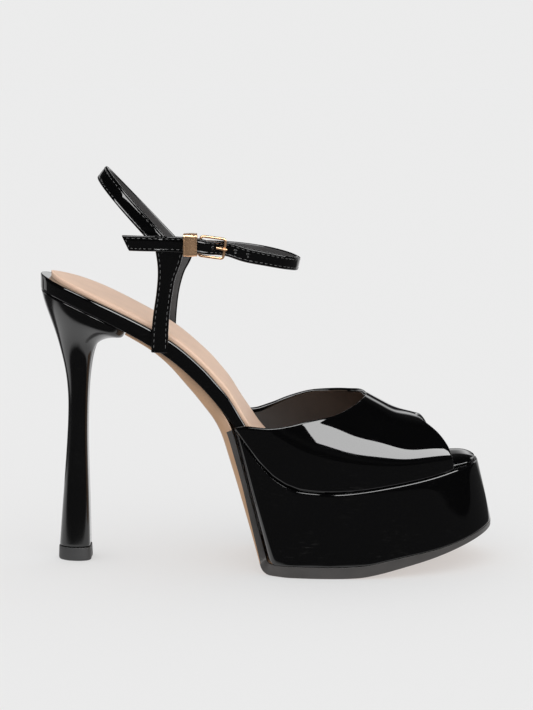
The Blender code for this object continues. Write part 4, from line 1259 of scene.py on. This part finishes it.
def sew(route, start, end, side, vertices, faces):
    """Adds a row of stitches along one side (-1 or 1) of a strap."""
    sizes = bpy.context.scene.sandal_sizes
    pitch = sizes.stitch_length + sizes.stitch_gap
    count = max(int((end - start) / pitch), 1)
    pitch = (end - start) / count
    radius = sizes.thread_width / 2
    height = route.thickness / 2 - SEAM_DEPTH + radius * 0.55
    for n in range(count):
        a = start + n * pitch + sizes.stitch_gap / 2
        b = start + (n + 1) * pitch - sizes.stitch_gap / 2
        ends = [route.at(place, side * (route.width_at(place) / 2 - sizes.stitch_inset), height)
                for place in (a, b)]
        out = np.array([np.interp((a + b) / 2, route.reach, route.out[:, k]) for k in range(3)])
        capsule(*ends, out / np.linalg.norm(out), radius, vertices, faces)


def strap_routes():
    """The five straps of the ankle, with the side that shows outside."""
    return {
        "back_strap": StrapRoute(rear_rows(), 64, STRAP_THICKNESS, -1),
        "lateral_stay": StrapRoute(stay_rows(-1), 30, STAY_THICKNESS, -1),
        "medial_stay": StrapRoute(stay_rows(1), 30, STAY_THICKNESS, 1),
        "buckle_tab": StrapRoute(tab_rows(), 10, STRAP_THICKNESS * 0.93, 1),
        "front_strap": StrapRoute(front_rows(), 120, STRAP_THICKNESS * 0.96, -1, STRAP_WIDTH * 0.5),
    }


def place_of_x(route, x):
    """Place along the lateral half of a strap where it passes a given x."""
    half = int(np.argmax(route.middle[:, 0]))
    return float(np.interp(-x, -route.middle[half:, 0], route.reach[half:]))


def make_straps():
    """All straps and stays of the ankle."""
    for name, route in strap_routes().items():
        make_strap(name, route)


def make_stitching():
    """Two seams along every strap and stay, and one across the slanting free end."""
    inset = bpy.context.scene.sandal_sizes.stitch_inset
    for name, route in strap_routes().items():
        vertices, faces = [], []
        start, end = SEAM_MARGIN, route.total - SEAM_MARGIN
        if name == "front_strap":
            end = route.total - inset
        if name.endswith("stay"):
            start, end = STAY_SEAM_MARGINS[0], route.total - STAY_SEAM_MARGINS[1]
        for side in (-1, 1):
            sew(route, start, end, side, vertices, faces)
        if name == "front_strap":
            width = route.width_at(end)
            span = width - 2 * inset
            sizes = bpy.context.scene.sandal_sizes
            count = int(span / (sizes.stitch_length * 0.8 + sizes.stitch_gap))
            height = route.thickness / 2 - 0.05 * MM
            out = route.out[-1]
            for n in range(1, count + 1):
                low = -span / 2 + span * (n - 0.8) / count
                high = low + sizes.stitch_length * 0.8
                capsule(route.at(end, low, height), route.at(end, high, height), out,
                        sizes.thread_width / 2, vertices, faces)
        seam = make_piece(name + "_stitching", vertices, faces, [thread_finish()], levels=0,
                          slot="ankle_strap")
        seam.data.shade_smooth()


def make_holes():
    """Punched holes along the front strap, each with a pressed rim; the prong fills one of them, and the
    others have a near black disc of painted shade in place of an open hole.
    """
    sizes = bpy.context.scene.sandal_sizes
    route = strap_routes()["front_strap"]
    first = place_of_x(route, FIRST_HOLE_X)
    for n in range(HOLES):
        place = first + n * sizes.hole_spacing
        nearest = int(np.searchsorted(route.reach, place))
        middle, out, along = route.at(place, 0, route.thickness / 2), route.out[nearest], route.along[nearest]
        side = np.cross(out, along)
        rings = []
        for reach, lift in HOLE_PROFILE[1 if n == FASTENED_HOLE else 0:]:
            radius = sizes.hole_width / 2 * max(reach, 0.02)
            rings.append(circle(middle + out * lift * MM, along, side, radius, 20))
        count = len(rings[0])
        vertices, faces = loft_faces(rings)
        vertices, faces = vertices[:-2], faces[:-2 * count]
        # The middle of each hole the prong does not fill is a near black disc of painted shade, not an open
        # hole
        shade_faces = 0 if n == FASTENED_HOLE else count
        finishes = [patent_finish("patent strap leather"), hole_shade_finish()]
        make_piece("punched_hole_%d" % (n + 1), vertices, faces, finishes,
                   lambda face, limit=shade_faces: 1 if face < limit else 0, levels=1, slot="ankle_strap")


# Buckle

def wire_rings(points, radius, sides):
    """Rings of a wire along a list of points, its ends rounded."""
    path = np.array(points, float)
    directions = np.gradient(path, axis=0)

    def cap(end, sizes):
        outward = directions[end] / np.linalg.norm(directions[end]) * (-1 if end == 0 else 1)
        return [(path[end] + outward * radius * 0.6 * (1 - size), directions[end], size) for size in sizes]

    spine = [(place, direction, 1.0) for place, direction in zip(path, directions)]
    out = []
    for place, direction, size in cap(0, (0.35, 0.8)) + spine + cap(-1, (0.8, 0.35)):
        along = Vector(direction).normalized()
        side = along.cross(Vector((0, 0, 1))).normalized()
        out.append(circle(Vector(place), side, side.cross(along), radius * size, sides))
    return out


def make_buckle_frame():
    """Rounded rectangular wire frame that slopes with the strap."""
    half_length = (BUCKLE_LENGTH - BUCKLE_WIRE) / 2
    half_width = (STRAP_WIDTH + BUCKLE_WIRE) / 2 + BUCKLE_CLEAR
    middle = Vector(((BUCKLE_BACK + BUCKLE_FRONT) / 2, (TAB_Y + FRONT_BAR_Y) / 2, BUCKLE_Z - BUCKLE_DROP / 2))
    along = Vector((BUCKLE_FRONT - BUCKLE_BACK, FRONT_BAR_Y - TAB_Y, -BUCKLE_DROP)).normalized()
    up = Vector((math.sin(math.radians(13)), 0, math.cos(math.radians(13))))
    up = (up - along * up.dot(along)).normalized()
    out = along.cross(up)
    corner = half_width * 0.30
    rings = []
    for a, b, angle in rounded_corners(8):
        spoke = along * math.cos(angle) + up * math.sin(angle)
        centre = middle + along * a * (half_length - corner) + up * b * (half_width - corner) + spoke * corner
        ring = []
        for k in range(16):
            turn = 2 * math.pi * k / 16
            squared = max(abs(math.cos(turn)), abs(math.sin(turn))) ** -0.35
            ring.append(tuple(centre + (spoke * math.cos(turn) + out * math.sin(turn))
                              * BUCKLE_WIRE / 2 * min(squared, 1.1)))
        rings.append(ring)
    make_loft("polished_buckle_frame", rings, [metal_finish()], "buckle_frame", closed=True, levels=1)


def make_prong():
    """Prong of the buckle, from just ahead of the rear bar through the strap's hole and over the front bar.
    """
    points = smooth_path([(*point, 0, 0) for point in prong_points()], 30)[:, :3]
    rings = wire_rings(points, PRONG_WIRE / 2, 14)
    make_loft("polished_prong", rings, [metal_finish()], "buckle_prong", levels=1)


def make_keeper():
    """Plain polished band round the tab and the free end, with a raised line along both edges."""
    thickness, clear = 2 * LAYER + 2 * GAP, 2 * GAP
    middle = Vector((BUCKLE_BACK - BUCKLE_WIRE / 2 - GAP - KEEPER_LENGTH / 2, TAB_Y - LAYER / 2,
                     STRAP_HEIGHT + STRAP_WIDTH * 0.29))
    half_depth, half_height = thickness / 2 + KEEPER_WALL / 2, STRAP_WIDTH / 2 + clear + KEEPER_WALL / 2
    half, wall = KEEPER_LENGTH / 2, KEEPER_WALL / 2
    upper = [(half * 0.4, 0.10), (half - 0.95 * MM, -0.04), (half - 0.75 * MM, -0.12),
             (half - 0.60 * MM, 0.04), (half - 0.10 * MM, 0.0)]
    profile = [(-half, -wall * 0.7), (-half + 0.10 * MM, -wall), (half - 0.10 * MM, -wall),
               (half, -wall * 0.7), (half, wall * 0.6)]
    profile += [(x, wall + rise * MM) for x, rise in upper[::-1]]
    profile += [(-x, wall + rise * MM) for x, rise in upper]
    profile.append((-half, wall * 0.6))
    rings = []
    corner = KEEPER_WALL * 0.9
    for a, b, angle in rounded_corners(6):
        y = middle.y + a * (half_depth - corner) + math.cos(angle) * corner
        z = middle.z + b * (half_height - corner) + math.sin(angle) * corner
        rings.append([(middle.x + width, y + math.cos(angle) * out, z + math.sin(angle) * out)
                      for width, out in profile])
    make_loft("plain_strap_keeper", rings, [metal_finish()], "strap_keeper", closed=True, levels=2)


# Studio

FLOOR_REACH = 40.0
FLOOR_BASE_SHARE = 0.45
FLOOR_GLOW = 0.55
MIRRORED_FLOOR_DARK = 0.04
PALE_FAN = (0.72, 0.92)

# Pale band at the back of the room that polished leather mirrors: its way, its side, foot and top
BACKWARD = (-0.18, 1.0, 0.0)
BAND_SIDE, BAND_FOOT, BAND_TOP = (0.70, 0.95), (0.09, 0.14), (0.16, 0.23)
BAND_DARK, BAND_PALE = 0.02, 0.84

CAMERA_TILT = math.radians(8.4)
CAMERA_DISTANCE = 0.9
CAMERA_TARGET = (-0.00085, 0.0997)
PICTURE_HEIGHT = 710.0
FOCAL_PIXELS = 1872.0
SENSOR_HEIGHT = 36.0

# Ovals of the floor that polished leather mirrors as pale: middle and half widths
FLOOR_SPOTS = (((0.0, 0.0), (0.125, 0.062)), ((-0.10, 0.075), (0.30, 0.100)))

# Soft panels: azimuth in degrees, distance, low and high edge, width, share of the panel strength
PANELS = {
    "vamp_panel": (47, 1.2, 0.47, 1.12, 2.45, 1.05),
    "strap_panel": (-30, 1.2, 1.00, 3.60, 1.30, 1.0),
    "heel_panel": (-125, 1.1, -0.10, 0.60, 0.25, 0.07),
    "breast_panel": (140, 1.6, 0.05, 0.75, 0.35, 0.12),
}


def floor_spot(tree, place, centre, radii):
    """Mask of an oval of the floor with a soft border."""
    stretch = add_node(tree, "Mapping", {
        "Vector": place,
        "Location": (-centre[0] / radii[0], -centre[1] / radii[1], 0.0),
        "Scale": (1 / radii[0], 1 / radii[1], 0.0),
    })
    reach = add_node(tree, "VectorMath", {0: stretch.outputs["Vector"]}, operation="LENGTH").outputs["Value"]
    return add_range(tree, reach, 1.0, 1.25, 1.0, 0.0)


def make_floor():
    """Pale floor; what polished leather mirrors of it ends a little in front of the shoe."""
    look = bpy.context.scene.studio_look
    mesh = bpy.data.meshes.new("studio_floor")
    corners = [(x * FLOOR_REACH, y * FLOOR_REACH, 0) for x, y in ((-1, -1), (1, -1), (1, 1), (-1, 1))]
    mesh.from_pydata(corners, [], [(0, 1, 2, 3)])
    floor = bpy.data.objects.new("studio_floor", mesh)
    bpy.context.scene.collection.objects.link(floor)

    def fill(tree):
        return {
            "Base Color": (*shade(look.floor, FLOOR_BASE_SHARE), 1.0),
            "Emission Color": (*look.floor, 1.0),
            "Emission Strength": FLOOR_GLOW,
            "Roughness": 1.0,
            "Specular IOR Level": 0.0,
        }

    material = make_finish("studio floor paper", fill)
    tree = material.node_tree
    place = add_node(tree, "NewGeometry").outputs["Position"]
    flat = add_node(tree, "VectorMath", {0: place, 1: (1.0, 1.0, 0.0)}, operation="MULTIPLY")
    unit = add_node(tree, "VectorMath", {0: flat.outputs["Vector"]}, operation="NORMALIZE")
    split = add_node(tree, "SeparateXYZ", {"Vector": unit.outputs["Vector"]})
    pale = add_range(tree, split.outputs["Y"], *PALE_FAN)
    for spot in FLOOR_SPOTS:
        pale = add_math(tree, "MAXIMUM", pale, floor_spot(tree, place, *spot))
    level = add_range(tree, pale, None, None, MIRRORED_FLOOR_DARK, look.floor[0])
    mirrored = add_node(tree, "Emission", {"Strength": level})
    both = add_node(tree, "MixShader", {
        "Fac": add_node(tree, "LightPath").outputs["Is Glossy Ray"],
        1: tree.nodes["Principled BSDF"].outputs["BSDF"],
        2: mirrored.outputs["Emission"],
    })
    tree.links.new(both.outputs["Shader"], tree.nodes["Material Output"].inputs["Surface"])
    mesh.materials.append(material)


def make_room():
    """Even light of the room; polished leather mirrors its pale back and its dark front."""
    look = bpy.context.scene.studio_look
    world = bpy.data.worlds.new("studio room")
    bpy.context.scene.world = world
    world.use_nodes = True
    tree = world.node_tree
    tree.nodes.clear()
    rays = add_node(tree, "LightPath").outputs
    way = add_node(tree, "TexCoord").outputs["Generated"]
    height = add_node(tree, "SeparateXYZ", {"Vector": way}).outputs["Z"]
    backward = add_node(tree, "VectorMath", {0: way, 1: BACKWARD}, operation="DOT_PRODUCT").outputs["Value"]
    behind = add_range(tree, backward, *BAND_SIDE, BAND_DARK, BAND_PALE)
    under = add_range(tree, height, *BAND_TOP, 1.0, BAND_DARK)
    over = add_range(tree, height, *BAND_FOOT, BAND_DARK, 1.0)
    glow = add_math(tree, "MULTIPLY", behind, add_math(tree, "MULTIPLY", under, over))
    white = (1.0, 1.0, 1.0, 1.0)
    seen, lit, mirrored = (
        add_node(tree, "Background", {"Color": colour, "Strength": level}).outputs["Background"]
        for colour, level in (((*look.floor, 1.0), look.room), (white, look.room), (white, glow)))
    hidden = add_node(tree, "MixShader", {"Fac": rays["Is Glossy Ray"], 1: lit, 2: mirrored})
    hidden = hidden.outputs["Shader"]
    all_rays = add_node(tree, "MixShader", {"Fac": rays["Is Camera Ray"], 1: hidden, 2: seen})
    add_node(tree, "OutputWorld", {"Surface": all_rays.outputs["Shader"]})


def make_panels():
    """Upright soft panels that face the shoe; azimuth is 0 in front of the buckle side and 90 at the toe."""
    for name, (azimuth, distance, low, high, wide, part) in PANELS.items():
        angle = math.radians(azimuth)
        light = bpy.data.lights.new(name, "AREA")
        light.shape = "RECTANGLE"
        light.size, light.size_y = wide, high - low
        light.energy = bpy.context.scene.studio_look.side_panel * part * wide * (high - low) * math.pi
        panel = bpy.data.objects.new(name, light)
        panel.location = (math.sin(angle) * distance, -math.cos(angle) * distance, (low + high) / 2)
        panel.rotation_euler = (math.pi / 2, 0, angle)
        panel.visible_camera = panel.visible_diffuse = False
        bpy.context.scene.collection.objects.link(panel)


def make_camera():
    """Camera at the photograph's own angle: level with the toe and a little above the shoe."""
    data = bpy.data.cameras.new("side_camera")
    data.sensor_fit = "VERTICAL"
    data.sensor_height = SENSOR_HEIGHT
    data.lens = SENSOR_HEIGHT * FOCAL_PIXELS / PICTURE_HEIGHT
    data.clip_start, data.clip_end = 0.01, 200.0
    camera = bpy.data.objects.new("side_camera", data)
    x, z = CAMERA_TARGET
    away, above = CAMERA_DISTANCE * math.cos(CAMERA_TILT), CAMERA_DISTANCE * math.sin(CAMERA_TILT)
    camera.location = (x, -away, z + above)
    camera.rotation_euler = (math.pi / 2 - CAMERA_TILT, 0.0, 0.0)
    bpy.context.scene.collection.objects.link(camera)
    bpy.context.scene.camera = camera


def make_studio():
    """Camera, floor and light, seen through the plain view transform."""
    bpy.context.scene.view_settings.view_transform = "Standard"
    make_camera()
    make_floor()
    make_room()
    make_panels()


# Operators and panel

class SANDAL_OT_stage(bpy.types.Operator):
    """Makes the camera, the pale floor and the soft light"""

    bl_idname = "sandal.stage"
    bl_label = "Stage"

    def execute(self, context):
        make_studio()
        return {"FINISHED"}


class SANDAL_OT_heel(bpy.types.Operator):
    """Makes the covered heel and its rubber top piece"""

    bl_idname = "sandal.heel"
    bl_label = "Heel"

    def execute(self, context):
        make_heel()
        make_heel_tip()
        return {"FINISHED"}


class SANDAL_OT_sole(bpy.types.Operator):
    """Makes the covered platform and the leather outsole"""

    bl_idname = "sandal.sole"
    bl_label = "Platform and outsole"

    def execute(self, context):
        make_platform()
        make_outsole()
        return {"FINISHED"}


class SANDAL_OT_footbed(bpy.types.Operator):
    """Makes the covered board and the padded sock"""

    bl_idname = "sandal.footbed"
    bl_label = "Footbed"

    def execute(self, context):
        make_board()
        make_sock()
        return {"FINISHED"}


class SANDAL_OT_vamp(bpy.types.Operator):
    """Makes the patent vamp with its lining"""

    bl_idname = "sandal.vamp"
    bl_label = "Vamp"

    def execute(self, context):
        make_vamp()
        return {"FINISHED"}


class SANDAL_OT_straps(bpy.types.Operator):
    """Makes the ankle strap and its two stays"""

    bl_idname = "sandal.straps"
    bl_label = "Straps and stays"

    def execute(self, context):
        make_straps()
        return {"FINISHED"}


class SANDAL_OT_stitching(bpy.types.Operator):
    """Sews the straps and punches the holes"""

    bl_idname = "sandal.stitching"
    bl_label = "Stitching and holes"

    def execute(self, context):
        make_stitching()
        make_holes()
        return {"FINISHED"}


class SANDAL_OT_buckle(bpy.types.Operator):
    """Makes the buckle frame, the prong and the plain keeper"""

    bl_idname = "sandal.buckle"
    bl_label = "Buckle and keeper"

    def execute(self, context):
        make_buckle_frame()
        make_prong()
        make_keeper()
        return {"FINISHED"}


OPERATORS = (SANDAL_OT_stage, SANDAL_OT_heel, SANDAL_OT_sole, SANDAL_OT_footbed, SANDAL_OT_vamp,
             SANDAL_OT_straps, SANDAL_OT_stitching, SANDAL_OT_buckle)


class SANDAL_PT_panel(bpy.types.Panel):
    """Lists the sandal's sizes, colours and pieces"""

    bl_idname = "SANDAL_PT_panel"
    bl_label = "Platform sandal"
    bl_space_type = "VIEW_3D"
    bl_region_type = "UI"
    bl_category = "Sandal"

    def draw(self, context):
        for group in (context.scene.sandal_sizes, context.scene.sandal_colours, context.scene.studio_look):
            box = self.layout.box()
            for key in group.__annotations__:
                box.prop(group, key)
        for operator in OPERATORS:
            self.layout.operator(operator.bl_idname)


CLASSES = (SandalSizes, SandalColours, StudioLook, *OPERATORS, SANDAL_PT_panel)


def register():
    """Registers the classes and their settings."""
    for kind in CLASSES:
        bpy.utils.register_class(kind)
    bpy.types.Scene.sandal_sizes = PointerProperty(type=SandalSizes)
    bpy.types.Scene.sandal_colours = PointerProperty(type=SandalColours)
    bpy.types.Scene.studio_look = PointerProperty(type=StudioLook)


def unregister():
    """Removes the settings and the classes."""
    del bpy.types.Scene.studio_look
    del bpy.types.Scene.sandal_colours
    del bpy.types.Scene.sandal_sizes
    for kind in reversed(CLASSES):
        bpy.utils.unregister_class(kind)


def main():
    """Registers the settings and makes every piece in order."""
    register()
    for operator in OPERATORS:
        group, name = operator.bl_idname.split(".")
        getattr(getattr(bpy.ops, group), name)()


if __name__ == "__main__":
    main()
